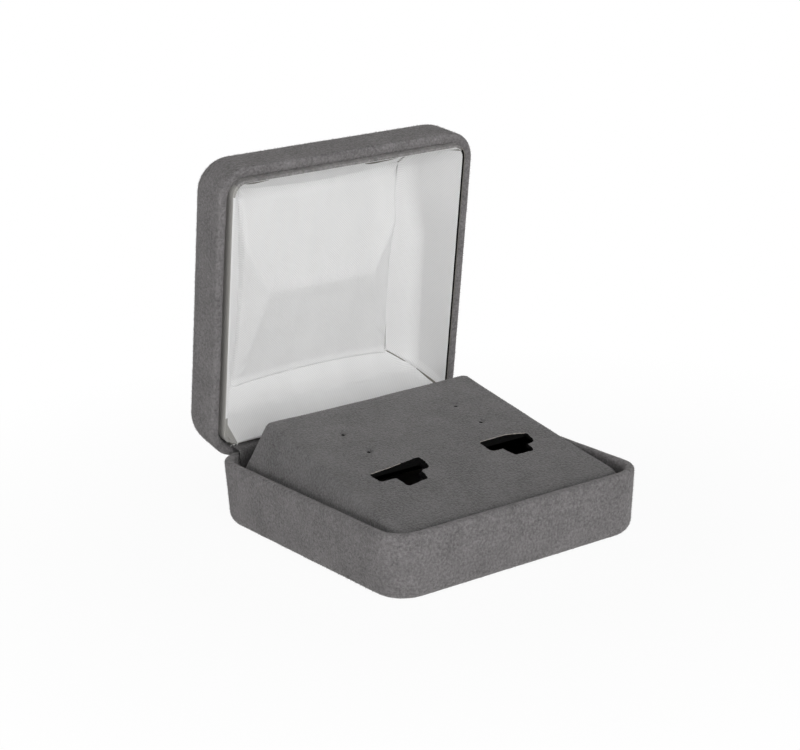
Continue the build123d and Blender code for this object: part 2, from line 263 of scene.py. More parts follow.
@dataclass(frozen=True)
class VelourFinish(Finish):
    """Short upright pile, with its mottled nap."""

    mottle: float = 0.62
    nap_size: float = 0.62
    patch_size: float = 7.0
    nap_depth: float = 0.27
    sheen: float = 0.3

    def sockets(self, paint: Paint) -> dict:
        """Nap in spots of three sizes.

        Args:
            paint: the material that is laid out.

        Returns:
            Values and Signals by the shader's socket.
        """
        nap = paint.contrast(paint.grain(self.nap_size, 3.0))
        fine = paint.contrast(paint.grain(self.nap_size * 0.4, 1.0), 0.25, 0.75)
        patch = paint.contrast(paint.grain(self.patch_size, 3.0))
        tone = (nap * 0.45 + fine * 0.35 + patch * 0.2).clamped()
        low, high = self.shade(1.0 - self.mottle), self.shade(1.0 + self.mottle)
        return {
            "Base_Color": paint.blend(tone, low, high),
            "Roughness": 0.9 + 0.1 * patch,
            "Specular_IOR_Level": 0.12,
            "Sheen_Weight": self.sheen,
            "Sheen_Roughness": 0.45,
            "Sheen_Tint": (0.9, 0.88, 0.86, 1.0),
            "Normal": paint.relief(nap * 0.65 + fine * 0.35, self.nap_depth, 0.8),
        }


@dataclass(frozen=True)
class BackingFinish(Finish):
    """Plain woven back of the velour; nearly black, it is also painted shade on cut faces and in
    gaps.
    """

    def sockets(self, paint: Paint) -> dict:
        """A plain weave.

        Args:
            paint: the material that is laid out.

        Returns:
            Values and Signals by the shader's socket.
        """
        weave = paint.contrast(paint.grain(0.5, 1.0, (1.0, 1.0, 0.35)))
        return {
            "Base_Color": paint.blend(weave, self.shade(0.8), self.shade(1.15)),
            "Roughness": 0.95 - 0.1 * weave,
            "Specular_IOR_Level": 0.1,
            "Normal": paint.relief(weave, 0.1),
        }


@dataclass(frozen=True)
class SatinFinish(Finish):
    """White satin with its fine dotted weave, laid out by the cloth's own map in millimetres."""

    pitch: float = 0.6
    thread_depth: float = 0.08
    dot: float = 0.26
    roughness: float = 0.5

    def sockets(self, paint: Paint) -> dict:
        """Warp and weft, drifting a little, with slubs.

        Args:
            paint: the material that is laid out.

        Returns:
            Values and Signals by the shader's socket.
        """
        cloth = paint.node("ShaderNodeUVMap", {"uv_map": WEAVE_MAP}, {})
        drift = paint.grain(9.0, 1.0) * 0.25
        axes = [paint.node("ShaderNodeSeparateXYZ", {}, {0: cloth}, axis) for axis in "XY"]
        across, along = (axis + drift for axis in axes)
        turn = 2 * math.pi / self.pitch
        threads = (across * turn).sine() * (along * turn).sine() * 0.5 + 0.5
        rib = (across * (2 * turn)).sine() * 0.5 + 0.5
        slub = paint.contrast(paint.grain(8.0, 2.0, (1.0, 0.3, 0.3)))
        tone = (1.0 - threads * 0.8 + slub * 0.2).clamped()
        return {
            "Base_Color": paint.blend(tone, self.shade(1.0 - self.dot), self.colour),
            "Roughness": self.roughness + 0.12 * threads - 0.06 * slub,
            "Specular_IOR_Level": 0.4,
            "Sheen_Weight": 0.25,
            "Sheen_Roughness": 0.35,
            "Normal": paint.relief(threads * 0.7 + rib * 0.3, self.thread_depth, 0.7),
        }


@dataclass(frozen=True)
class CardFinish(Finish):
    """Grey board with its paper fibres."""

    def sockets(self, paint: Paint) -> dict:
        """Fibres and darker specks.

        Args:
            paint: the material that is laid out.

        Returns:
            Values and Signals by the shader's socket.
        """
        fibre = paint.contrast(paint.grain(0.8, 4.0, (1.0, 0.3, 1.0)))
        speck = paint.contrast(paint.grain(0.25, 1.0), 0.62, 0.72)
        body = paint.blend(fibre, self.shade(0.85), self.shade(1.1))
        return {
            "Base_Color": paint.blend(speck * 0.5, body, self.shade(0.5)),
            "Roughness": 0.82 + 0.12 * fibre,
            "Specular_IOR_Level": 0.25,
            "Normal": paint.relief(fibre * 0.7 + speck * 0.3, 0.05),
        }


@dataclass(frozen=True)
class SteelFinish(Finish):
    """Rolled or plated sheet steel, with handling marks."""

    roughness: float
    streak: Triple = (0.08, 1.0, 1.0)

    def sockets(self, paint: Paint) -> dict:
        """Rolling streaks and dull patches.

        Args:
            paint: the material that is laid out.

        Returns:
            Values and Signals by the shader's socket.
        """
        rolled = paint.contrast(paint.grain(0.5, 3.0, self.streak))
        dull = paint.contrast(paint.grain(4.0, 4.0), 0.45)
        bright = paint.blend(rolled, self.shade(0.88), self.colour)
        return {
            "Base_Color": paint.blend(dull * 0.5, bright, self.shade(0.6)),
            "Metallic": 1.0 - 0.25 * dull,
            "Roughness": self.roughness + 0.14 * rolled + 0.2 * dull,
            "Normal": paint.relief(rolled, 0.01, 0.6),
        }


@dataclass(frozen=True)
class FormerFinish(Finish):
    """Black moulded sheet of the insert's former, made darker still as painted shade where it shows
    in the slots.
    """

    def sockets(self, paint: Paint) -> dict:
        """A fine moulded grain with dust.

        Args:
            paint: the material that is laid out.

        Returns:
            Values and Signals by the shader's socket.
        """
        grain = paint.contrast(paint.grain(0.35, 2.0))
        dust = paint.contrast(paint.grain(2.5, 4.0), 0.5, 0.75)
        return {
            "Base_Color": paint.blend(dust * 0.5, self.colour, self.shade(1.8)),
            "Roughness": 0.7 + 0.15 * grain + 0.1 * dust,
            "Specular_IOR_Level": 0.08,
            "Normal": paint.relief(grain, 0.04, 0.6),
        }


@dataclass(frozen=True)
class WaddingFinish(Finish):
    """White polyester wadding."""

    def sockets(self, paint: Paint) -> dict:
        """Tufts of fine fibres.

        Args:
            paint: the material that is laid out.

        Returns:
            Values and Signals by the shader's socket.
        """
        tuft = paint.contrast(paint.grain(1.4, 4.0))
        fibre = paint.contrast(paint.grain(0.3, 2.0, (0.3, 1.0, 1.0)))
        return {
            "Base_Color": paint.blend(tuft, self.shade(0.85), self.colour),
            "Roughness": 0.9 + 0.1 * fibre,
            "Specular_IOR_Level": 0.15,
            "Sheen_Weight": 0.2,
            "Normal": paint.relief(tuft * 0.6 + fibre * 0.4, 0.4),
        }


# Shapes


def opened(points: np.ndarray) -> np.ndarray:
    """Turns points of the shut lid to the open pose."""
    turn = math.radians(-OPEN_ANGLE)
    y = points[:, 1] - HINGE_Y
    z = points[:, 2] - HINGE_Z
    turned_y = HINGE_Y + y * math.cos(turn) - z * math.sin(turn)
    turned_z = HINGE_Z + y * math.sin(turn) + z * math.cos(turn)
    return np.column_stack([points[:, 0], turned_y, turned_z])


def link_object(name: str, data: bpy.types.ID) -> Piece:
    """Makes an object of a mesh, lamp or camera, linked to the scene."""
    made = bpy.data.objects.new(name, data)
    bpy.context.scene.collection.objects.link(made)
    return made


def discard(piece: Piece) -> None:
    """Removes an object and its mesh."""
    mesh = piece.data
    bpy.data.objects.remove(piece)
    bpy.data.meshes.remove(mesh)


def make_object(
    name: str,
    points: np.ndarray,
    faces: list,
    weave: np.ndarray | None = None,
    edges: list[tuple] | None = None,
) -> Piece:
    """Makes a mesh object from points in millimetres.

    Args:
        name: the piece's name.
        points: one row for each vertex.
        faces: vertex numbers of each face.
        weave: place of each vertex on the flat cloth, in millimetres.
        edges: vertex numbers of each loose edge.

    Returns:
        The object, linked to the scene.
    """
    mesh = bpy.data.meshes.new(name)
    faces = [list(map(int, face)) for face in faces]
    mesh.from_pydata((np.asarray(points) * MM).tolist(), edges or [], faces)
    mesh.update()
    if weave is not None:
        layer = mesh.uv_layers.new(name=WEAVE_MAP)
        corners = np.empty(len(mesh.loops), np.int32)
        mesh.loops.foreach_get("vertex_index", corners)
        layer.data.foreach_set("uv", weave[corners].astype(np.float32).ravel())
    return link_object(name, mesh)


def surface_of(mesh: bpy.types.Mesh) -> tuple[np.ndarray, np.ndarray]:
    """Places and normals of a mesh's vertices, in metres."""
    points = np.empty(len(mesh.vertices) * 3)
    normals = np.empty(len(points), np.float32)
    mesh.vertices.foreach_get("co", points)
    mesh.vertices.foreach_get("normal", normals)
    return points.reshape(-1, 3), normals.reshape(-1, 3)


def move_points(mesh: bpy.types.Mesh, points: np.ndarray) -> None:
    """Moves a mesh's vertices to new places, in metres."""
    mesh.vertices.foreach_set("co", points.ravel())
    mesh.update()


def smooth(piece: Piece, crease: float) -> None:
    """Shades a piece smooth, with edges sharper than crease degrees kept."""
    piece.data.polygons.foreach_set("use_smooth", [True] * len(piece.data.polygons))
    piece.data.set_sharp_from_angle(angle=math.radians(crease))


def tidy_mesh(piece: Piece, outward: bool = True) -> None:
    """Merges doubles and, for a closed piece, turns its faces outwards."""
    shape = bmesh.new()
    shape.from_mesh(piece.data)
    bmesh.ops.remove_doubles(shape, verts=shape.verts, dist=0.002 * MM)
    bmesh.ops.dissolve_degenerate(shape, edges=shape.edges, dist=0.0005 * MM)
    if outward:
        bmesh.ops.recalc_face_normals(shape, faces=shape.faces)
    shape.to_mesh(piece.data)
    shape.free()


def freeze(piece: Piece) -> None:
    """Replaces a piece's mesh by what its modifiers make of it, and removes them."""
    view = bpy.context.evaluated_depsgraph_get()
    final = bpy.data.meshes.new_from_object(
        piece.evaluated_get(view), preserve_all_data_layers=True, depsgraph=view
    )
    piece.modifiers.clear()
    old = piece.data
    piece.data = final
    bpy.data.meshes.remove(old)
    final.name = piece.name


def add_modifier(piece: Piece, kind: str, **settings: object) -> bpy.types.Modifier:
    """Adds a modifier with its settings."""
    modifier = piece.modifiers.new(kind.title(), kind)
    for key, value in settings.items():
        setattr(modifier, key, value)
    return modifier


def lay_materials(piece: Piece, materials: list, marks: list | np.ndarray | None = None) -> None:
    """Gives a piece its materials.

    Args:
        piece: the piece.
        materials: its materials, in the order of its faces' numbers.
        marks: the material's number for each face, or None to keep the numbers.
    """
    if marks is None:
        marks = np.empty(len(piece.data.polygons), np.int32)
        piece.data.polygons.foreach_get("material_index", marks)
        marks = np.minimum(marks, len(materials) - 1)
    piece.data.materials.clear()
    for material in materials:
        piece.data.materials.append(material)
    piece.data.polygons.foreach_set("material_index", np.array(marks, np.int32))


def hand_over(
    piece: Piece, body: Body | None, materials: list, nodes: tuple = ()
) -> None:
    """Dresses a finished piece and tells the frame about it.

    Args:
        piece: the piece, with its final mesh.
        body: what it rides on, or None to leave it on neither of the two.
        materials: its materials, or none where it has them.
        nodes: the CAD nodes that it stands for.
    """
    if materials:
        lay_materials(piece, materials)
    if body is not None:
        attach(piece, body.value)
    if nodes:
        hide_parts(*nodes)
    log.info("%s: %d faces", piece.name, len(piece.data.polygons))


def cut(piece: Piece, cutters: list[Piece], materials: list) -> None:
    """Cuts closed cutters out of a closed piece, and deletes them.

    Args:
        piece: the piece.
        cutters: what is cut out of it.
        materials: the piece's materials, of which the cut faces get the second.
    """
    for cutter in cutters:
        # The cut faces take the nearly black second material, as painted shade inside the cuts.
        lay_materials(cutter, materials, [Face.BACK] * len(cutter.data.polygons))
        add_modifier(piece, "BOOLEAN", operation="DIFFERENCE", object=cutter, solver="EXACT")
        freeze(piece)
        discard(cutter)


def make_cutter(points: np.ndarray, faces: list) -> Piece:
    """Makes a closed cutter with its faces outwards."""
    made = make_object("cutter", points, faces)
    tidy_mesh(made)
    return made


def ripple(points: np.ndarray, size: float, seed: float) -> np.ndarray:
    """Smooth noise from -1 to 1 at each point, with waves about size millimetres long."""
    shift = Vector((seed, 2 * seed, -seed))
    return np.array([noise.noise(Vector(point) / size + shift) for point in points])


@dataclass(frozen=True)
class Outline:
    """Four-sided outline with round corners, walked from the middle of its front left corner."""

    front_half: float
    rear_half: float
    front: float
    rear: float
    radius: float
    draw_in: float = 0.0
    rear_radius: float = 0.0
    side_steps: int = 30
    corner_steps: int = 16

    def points(self, level: float = 0.0) -> np.ndarray:
        """Points of the outline at a level, the same number on any outline."""
        corners = [
            np.array([-self.front_half, self.front]),
            np.array([self.front_half, self.front]),
            np.array([self.rear_half, self.rear]),
            np.array([-self.rear_half, self.rear]),
        ]
        radii = [self.radius] * 2 + [self.rear_radius or self.radius] * 2
        arcs = [self._arc(*(corners[(i + k) % 4] for k in (-1, 0, 1)), radii[i]) for i in range(4)]
        half = self.corner_steps // 2
        rows = []
        for i in range(4):
            following = arcs[(i + 1) % 4]
            rows.extend(arcs[i][half:])
            start, end = arcs[i][-1], following[0]
            along = (end - start) / np.linalg.norm(end - start)
            inward = np.array([-along[1], along[0]])
            for step in range(1, self.side_steps):
                share = step / self.side_steps
                bow = self.draw_in * (1.0 - (2.0 * share - 1.0) ** 2)
                rows.append(start + (end - start) * share + inward * bow)
            rows.extend(following[:half])
        return np.column_stack([np.array(rows), np.full(len(rows), level)])

    def _arc(
        self, before: np.ndarray, corner: np.ndarray, after: np.ndarray, radius: float
    ) -> np.ndarray:
        """Points round one corner.

        Args:
            before: the corner before it.
            corner: the corner itself.
            after: the corner after it.
            radius: of its round, in millimetres.

        Returns:
            The points, from the side before it to the side after it.
        """
        back = (before - corner) / np.linalg.norm(before - corner)
        onward = (after - corner) / np.linalg.norm(after - corner)
        half_angle = math.acos(float(np.clip(back @ onward, -1, 1))) / 2
        middle = (back + onward) / np.linalg.norm(back + onward)
        centre = corner + middle * radius / math.sin(half_angle)
        start = corner + back * radius / math.tan(half_angle) - centre
        sweep = math.pi - 2 * half_angle
        rows = []
        for step in range(self.corner_steps + 1):
            sine, cosine = (turn(sweep * step / self.corner_steps) for turn in (math.sin, math.cos))
            turned = (start[0] * cosine - start[1] * sine, start[0] * sine + start[1] * cosine)
            rows.append(centre + np.array(turned))
        return np.array(rows)

    def corner_place(self) -> np.ndarray:
        """For each point: -1 to 1 across a corner, or 2 where it isn't on one."""
        half = self.corner_steps // 2
        quarter = [step / half for step in range(half + 1)]
        quarter += [2.0] * (self.side_steps - 1)
        quarter += [step / half - 1.0 for step in range(half)]
        return np.array(quarter * 4)


def skin_faces(rings: int, count: int) -> list[tuple]:
    """Faces between rings of count points each."""
    faces = []
    for low in range(0, (rings - 1) * count, count):
        high = low + count
        for i in range(count):
            j = (i + 1) % count
            faces.append((low + i, low + j, high + j, high + i))
    return faces


def fan_faces(first: int, count: int, middle: int) -> list[tuple]:
    """Faces between a ring of count points, which starts at number first, and one middle point."""
    return [(first + i, first + (i + 1) % count, middle) for i in range(count)]


def grid_faces(rows: int, columns: int) -> list[tuple]:
    """Faces of a sheet whose points lie in rows of columns each."""
    starts = (row * columns + column for row in range(rows - 1) for column in range(columns - 1))
    return [(a, a + 1, a + columns + 1, a + columns) for a in starts]


def quarter_turn(steps: int, first: int = 0) -> list[tuple[float, float]]:
    """Sine and cosine at each step of a quarter turn, from step number first."""
    turns = [math.pi / 2 * step / steps for step in range(first, steps + 1)]
    return [(math.sin(turn), math.cos(turn)) for turn in turns]


def curve_place(start: np.ndarray, corner: np.ndarray, end: np.ndarray, t: float) -> np.ndarray:
    """Place at a share t of the way along the curve that softens a corner."""
    return (1 - t) ** 2 * start + 2 * t * (1 - t) * corner + t**2 * end


def rounded(points: list[np.ndarray], reach: list[np.ndarray], steps: int) -> np.ndarray:
    """Softens the one inner corner of a three-point run of rings.

    Args:
        points: the rings before, at and after the corner.
        reach: how far along each leg the curve begins and ends, as a share for each point.
        steps: number of steps in the curve.

    Returns:
        The rings of the curve, one after the other.
    """
    start = points[1] + (points[0] - points[1]) * reach[0][:, None]
    end = points[1] + (points[2] - points[1]) * reach[1][:, None]
    return np.array([curve_place(start, points[1], end, t / steps) for t in range(steps + 1)])


def between(start: np.ndarray, end: np.ndarray, shares: np.ndarray) -> list[np.ndarray]:
    """Places or rings at some shares of the way from one to another."""
    return [start + (end - start) * share for share in shares]


def lengths_along(rings: np.ndarray) -> np.ndarray:
    """Distance of each point from the first ring, along its own column."""
    steps = np.linalg.norm(np.diff(rings, axis=0), axis=2)
    return np.concatenate([np.zeros((1, rings.shape[1])), np.cumsum(steps, axis=0)])


# Geometry Nodes


class GeometryTree(TreeBuilder):
    """A Geometry Nodes tree with named inputs."""

    SOCKETS = {float: "NodeSocketFloat", int: "NodeSocketInt"}

    def __init__(self, name: str, sizes: dict) -> None:
        """Starts a tree.

        Args:
            name: the tree's name.
            sizes: default of each named input.
        """
        tree = bpy.data.node_groups.new(name, "GeometryNodeTree")
        super().__init__(tree)
        tree.interface.new_socket("Geometry", in_out="INPUT", socket_type="NodeSocketGeometry")
        self.identifiers = {}
        for label, value in sizes.items():
            kind = self.SOCKETS.get(type(value), "NodeSocketMaterial")
            made = tree.interface.new_socket(label, in_out="INPUT", socket_type=kind)
            self.identifiers[label] = made.identifier
        tree.interface.new_socket("Geometry", in_out="OUTPUT", socket_type="NodeSocketGeometry")
        self.source = tree.nodes.new("NodeGroupInput")
        self.sizes = sizes

    def input(self, label: str) -> Signal:
        """One named input as a Signal."""
        return Signal(self, self.source.outputs[label])

    def chance(self, low: object, high: object, seed: object) -> Signal:
        """A random number from low to high for each point."""
        sockets = {2: low, 3: high, "Seed": seed}
        return self.node("FunctionNodeRandomValue", {"data_type": "FLOAT"}, sockets, 1)

    def close(self, geometry: Signal) -> None:
        """Realizes the instances, gives them their material and ends the tree."""
        solid = self.node("GeometryNodeRealizeInstances", {}, {"Geometry": geometry})
        sockets = {"Geometry": solid, "Material": self.input("Material")}
        dressed = self.node("GeometryNodeSetMaterial", {}, sockets)
        self.node("NodeGroupOutput", {}, {"Geometry": dressed})

    def run(self, name: str, source: Piece) -> Piece:
        """Runs the tree on a copy of a mesh object.

        Args:
            name: the new piece's name.
            source: the object that the copy is made of.

        Returns:
            The result as a plain mesh object.
        """
        made = link_object(name, source.data.copy())
        modifier = made.modifiers.new("Nodes", "NODES")
        modifier.node_group = self.tree
        for label, value in self.sizes.items():
            modifier[self.identifiers[label]] = value
        freeze(made)
        return made


@dataclass(frozen=True)
class Pile:
    """Single fibres that stand up from a velour cover."""

    density: float
    length: float
    width: float
    seed: int
    lean: float = 42.0
    shortest: float = 0.45

    def _tree(self, material: Material) -> GeometryTree:
        """Lays out the tree, which plants fibres on the faces of material slot 0.

        Args:
            material: the fibres' material.

        Returns:
            The tree.
        """
        sizes = {
            "Density": self.density / MM**2,
            "Length": self.length * MM,
            "Width": self.width * MM,
            "Lean": math.radians(self.lean),
            "Seed": self.seed,
            "Material": material,
        }
        tree = GeometryTree("velour_pile", sizes)
        number = tree.node("GeometryNodeInputMaterialIndex", {}, {})
        same = {"data_type": "INT", "operation": "EQUAL"}
        outer = tree.node("FunctionNodeCompare", same, {2: number, 3: int(Face.PILE)})
        scatter = {"Mesh": tree.input("Geometry"), "Selection": outer}
        scatter.update({label: tree.input(label) for label in ("Density", "Seed")})
        way = {"distribute_method": "RANDOM"}
        points = tree.node("GeometryNodeDistributePointsOnFaces", way, scatter, "Points")
        upright = Signal(tree, points.socket.node.outputs["Rotation"])
        slant = tree.chance(tree.input("Lean") * -1.0, tree.input("Lean"), tree.input("Seed"))
        around = tree.chance(0.0, 2 * math.pi, 7)
        turn = tree.node("ShaderNodeCombineXYZ", {}, {"X": slant, "Z": around})
        spin = tree.node("FunctionNodeEulerToRotation", {}, {"Euler": turn})
        turned = {"Rotation": upright, "Rotate By": spin}
        facing = tree.node("FunctionNodeRotateRotation", {"rotation_space": "LOCAL"}, turned)
        growth = tree.chance(self.shortest, 1.0, 11)
        cone = {
            "Vertices": 3,
            "Radius Top": 0.0,
            "Radius Bottom": tree.input("Width") * 0.5,
            "Depth": tree.input("Length"),
        }
        fibre = tree.node("GeometryNodeMeshCone", {"fill_type": "NGON"}, cone, "Mesh")
        planting = {"Points": points, "Instance": fibre, "Rotation": facing, "Scale": growth}
        tree.close(tree.node("GeometryNodeInstanceOnPoints", {}, planting))
        return tree

    def grow(self, cover: Piece, body: Body, slot: Slot, material: Material) -> None:
        """Grows the pile on a finished cover, as a piece of its own.

        Args:
            cover: the cover.
            body: what it rides on.
            slot: its material slot in the record; not used.
            material: the fibres' material.
        """
        pile = self._tree(material).run(cover.name + "_pile", cover)
        hand_over(pile, body, [material])


def make_threads(
    name: str, material: Material, strands: list[np.ndarray], radius: float = 0.05
) -> Piece:
    """Makes thin round threads.

    Args:
        name: the piece's name.
        material: the threads' material.
        strands: the points of each thread, in millimetres.
        radius: of a thread, in millimetres.

    Returns:
        The threads as one object.
    """
    tree = GeometryTree("threads", {"Radius": radius * MM, "Material": material})
    lines = tree.node("GeometryNodeMeshToCurve", {}, {"Mesh": tree.input("Geometry")})
    circle = {"Resolution": 5, "Radius": tree.input("Radius")}
    section = tree.node("GeometryNodeCurvePrimitiveCircle", {"mode": "RADIUS"}, circle)
    sweep = {"Curve": lines, "Profile Curve": section, "Fill Caps": True}
    tree.close(tree.node("GeometryNodeCurveToMesh", {}, sweep))
    edges, first = [], 0
    for strand in strands:
        edges += [(first + step, first + step + 1) for step in range(len(strand) - 1)]
        first += len(strand)
    source = make_object(name + "_lines", np.concatenate(strands), [], edges=edges)
    made = tree.run(name, source)
    discard(source)
    return made


# Sub-assemblies


@dataclass
class Finishes:
    """All the finishes of the box, built once."""

    outer: Finish = VelourFinish("box_velour", (0.186, 0.178, 0.180))
    pad: Finish = VelourFinish("insert_velour", (0.160, 0.156, 0.157), nap_size=0.5)
    # The hinge strip's velour, painted darker than the box's for the shade that it lies in.
    strip: Finish = VelourFinish("strip_velour", (0.115, 0.112, 0.112), nap_size=0.42)
    # Nearly black: the velour's back, and painted shade on the cut faces of slots, holes and
    # notches and at the right wall's rim end.
    backing: Finish = BackingFinish("velour_backing", (0.004, 0.004, 0.004))
    hem: Finish = VelourFinish("hem_velour", (0.24, 0.232, 0.23), mottle=0.6, nap_size=0.9)
    satin: Finish = SatinFinish("white_satin", (0.87, 0.87, 0.868))
    # White satin painted grey for the shade on the cloth turned over the card's rim; its ribbed
    # weave is real.
    selvedge: Finish = SatinFinish("satin_selvedge", (0.42, 0.41, 0.39), 0.55, 0.12, 0.5, 0.6)
    thread: Finish = CardFinish("white_thread", (0.8, 0.8, 0.78))
    lint: Finish = CardFinish("grey_lint", (0.5, 0.46, 0.42))
    card: Finish = CardFinish("grey_card", (0.2, 0.19, 0.17))
    steel: Finish = SteelFinish("pressed_steel", (0.45, 0.45, 0.46), 0.42)
    hinge: Finish = SteelFinish("hinge_steel", (0.62, 0.61, 0.58), 0.28, (1.0, 1.0, 0.08))
    # The former's black, darkened further as painted shade in the insert's slots and holes.
    former: Finish = FormerFinish("former", (0.004, 0.004, 0.004))
    wadding: Finish = WaddingFinish("wadding", (0.8, 0.8, 0.78))
    built: dict = field(default_factory=dict)

    def get(self, name: str) -> Material:
        """The material of a finish, built at its first use."""
        if name not in self.built:
            self.built[name] = getattr(self, name).material()
        return self.built[name]


@dataclass
class BoxCover:
    """Velour round the base: outside, over the rim and a little way down inside."""

    name: str = "base_cover"
    body: Body = Body.BASE
    node: str = "base_velour"
    height: float = 15.2
    edge_radius: float = 3.0
    rim_level: float = 15.2
    half: float = BOX_HALF
    lean: float = math.tan(math.radians(1.5))
    rim_corner: float = 7.2
    far_corner: float = 8.1
    rim_width: float = 2.0
    rim_round: float = 0.7
    turn_in: float = 0.4
    turn_in_depth: float = 6.0
    turn_in_rings: tuple[float, ...] = (1.4, 2.4, 3.6, 4.8, 6.0)
    cloth: float = 0.5
    steel_gap: float = 0.2
    ripple_height: float = 0.07
    pleat_height: float = 0.3
    pleat_depth: float = 1.5
    pleats: float = 5.0
    bulge: float = 0.0
    bulge_start: float = 0.3
    bulge_depth: float = 1.2
    front_reach: float = 0.0
    right_reach: float = 0.0
    pucker: float = 0.0
    corner_dent: float = 0.0
    wall_rings: int = 12
    caps: tuple[float, ...] = (0.25, 0.5, 0.75)
    far_face: Face = Face.BARE
    far_bands: int = 4
    tight_depth: float = 0.12
    notches: tuple[Block, ...] = (
        (15.5, 32.55, 36.0, 12.2, 16.2),
        (15.5, 32.0, 33.4, 8.7, 15.0),
    )
    pile: Pile = Pile(density=5.0, length=0.34, width=0.075, seed=3)

    def _section(self) -> list[tuple[float, float, bool]]:
        """Steps of the section: inset from the rim's outside, depth below it, if it is seen."""
        lean, edge, bend = self.lean, self.edge_radius, self.rim_round
        low = self.height - edge
        start = lean * low + edge
        inner = self.rim_width - bend
        steps = range(1, self.wall_rings + 1)
        levels = [low + (bend - low) * step / self.wall_rings for step in steps]
        seen = [(start - edge * sine, low + edge * cosine) for sine, cosine in quarter_turn(12)]
        seen += [(lean * level, level) for level in levels]
        for sine, cosine in quarter_turn(6, 1):
            seen.append((bend - bend * cosine + lean * bend, bend - bend * sine))
        for sine, cosine in quarter_turn(6):
            seen.append((inner + bend * sine, bend - bend * cosine))
        seen += [(self.rim_width, depth) for depth in self.turn_in_rings]
        under, back = self.rim_width - self.turn_in, self.cloth + self.steel_gap
        inside = edge - self.cloth
        hidden = [(under, self.turn_in_depth), (under, back), (self.cloth + lean, back)]
        hidden.append((self.cloth + lean * low, low))
        for sine, cosine in reversed(quarter_turn(6)[:-1]):
            hidden.append((start - inside * sine, low + inside * cosine))
        return [(*step, True) for step in seen] + [(*step, False) for step in hidden]

    def _ring(self, inset: float, depth: float) -> Outline:
        """The outline of one step of the section."""
        radius = self.rim_corner + (self.far_corner - self.rim_corner) * depth / self.height
        radius = max(radius - (inset - self.lean * depth), 0.35)
        half = self.half - inset
        return Outline(half, half, -half, half, radius)

    def _points(self, inset: float, depth: float, shown: bool) -> np.ndarray:
        """Points of one ring, with the pleats behind the rim and the dent in its corner.

        Args:
            inset: from the rim's outside, in millimetres.
            depth: below the rim, in millimetres.
            shown: if the ring is on the cloth's seen side.

        Returns:
            The points, with the rim at level 0 and the rest below it.
        """
        outline = self._ring(inset, depth)
        ring = outline.points(-depth)
        if not shown:
            return ring
        past_round = inset - self.rim_width + self.rim_round
        if inset > self.rim_width - self.rim_round and depth <= self.turn_in_depth:
            place = outline.corner_place()
            on_corner = np.minimum(np.abs(place), 1.0)
            gather = np.where(np.abs(place) <= 1.0, np.cos(on_corner * math.pi / 2) ** 0.5, 0.0)
            wave = gather * np.sin(place * math.pi * self.pleats)
            push = self.pleat_height * min(depth / self.pleat_depth, 1.0)
            outward = ring[:, :2] / np.linalg.norm(ring[:, :2], axis=1)[:, None]
            reach = self.front_reach * np.clip(-ring[:, 1] / self.half, 0.0, 1.0) ** 5
            reach += self.right_reach * np.clip(ring[:, 0] / self.half, 0.0, 1.0) ** 5
            reach *= min(past_round / self.rim_round, 1.0)
            swell = self.bulge * min(max(depth - self.bulge_start, 0.0) / self.bulge_depth, 1.0)
            shift = (wave * 0.5 + 0.5 * gather) * push + np.maximum(swell, reach)
            ring[:, :2] -= outward * shift[:, None]
            ring[:, 2] -= self.pucker * np.abs(wave)
        if self.corner_dent and depth < self.rim_round and inset > 0.1:
            middle = len(ring) // 4
            ring[middle, 2] -= self.corner_dent
            ring[[middle - 1, middle + 1], 2] -= self.corner_dent * 0.25
        return ring

    def _bands(self, section: list) -> list[Face]:
        """What the faces are between each ring and the next one."""
        ends = len(self.caps)
        seen = [True] * ends + [shown for _, _, shown in section] + [False] * ends
        tight = [depth <= self.tight_depth for _, depth, _ in section]
        tight = [False] * ends + tight + [False] * ends
        bands = []
        for i in range(len(seen) - 1):
            if i < ends + self.far_bands:
                bands.append(self.far_face)
            elif not (seen[i] and seen[i + 1]):
                bands.append(Face.BACK)
            else:
                bands.append(Face.BARE if tight[i] and tight[i + 1] else Face.PILE)
        return bands

    def _stood(self, points: np.ndarray) -> np.ndarray:
        """Points with the rim at its level, and the lid's the other way up and open."""
        if self.body is Body.BASE:
            return points + (0.0, 0.0, self.rim_level)
        return opened(points * (1.0, 1.0, -1.0) + (0.0, 0.0, self.rim_level))

    def _notch(self, block: Block) -> Piece:
        """A box cutter for the hinge, even about the middle of the box."""
        half, near, far, low, high = block
        sides = ((-half, half), (near, far), (low, high))
        points = np.array([[x, y, z] for x in sides[0] for y in sides[1] for z in sides[2]])
        faces = [(0, 1, 3, 2), (4, 6, 7, 5), (0, 4, 5, 1), (2, 3, 7, 6), (0, 2, 6, 4), (1, 5, 7, 3)]
        return make_cutter(opened(points) if self.body is Body.LID else points, faces)

    def _ripple(self, cover: Piece) -> None:
        """Lets the cloth's surface wander a little from the steel."""
        points, normals = surface_of(cover.data)
        height = ripple(points / MM, 6.0, 1.3) * 0.6 + ripple(points / MM, 1.6, 4.1) * 0.4
        resting = points[:, 2] < 0.2 * MM
        height[resting] = np.minimum(height[resting], 0.0) * 0.5
        moved = points + normals * (height * self.ripple_height * MM)[:, None]
        moved[:, 2] = np.maximum(moved[:, 2], 0.0)
        move_points(cover.data, moved)

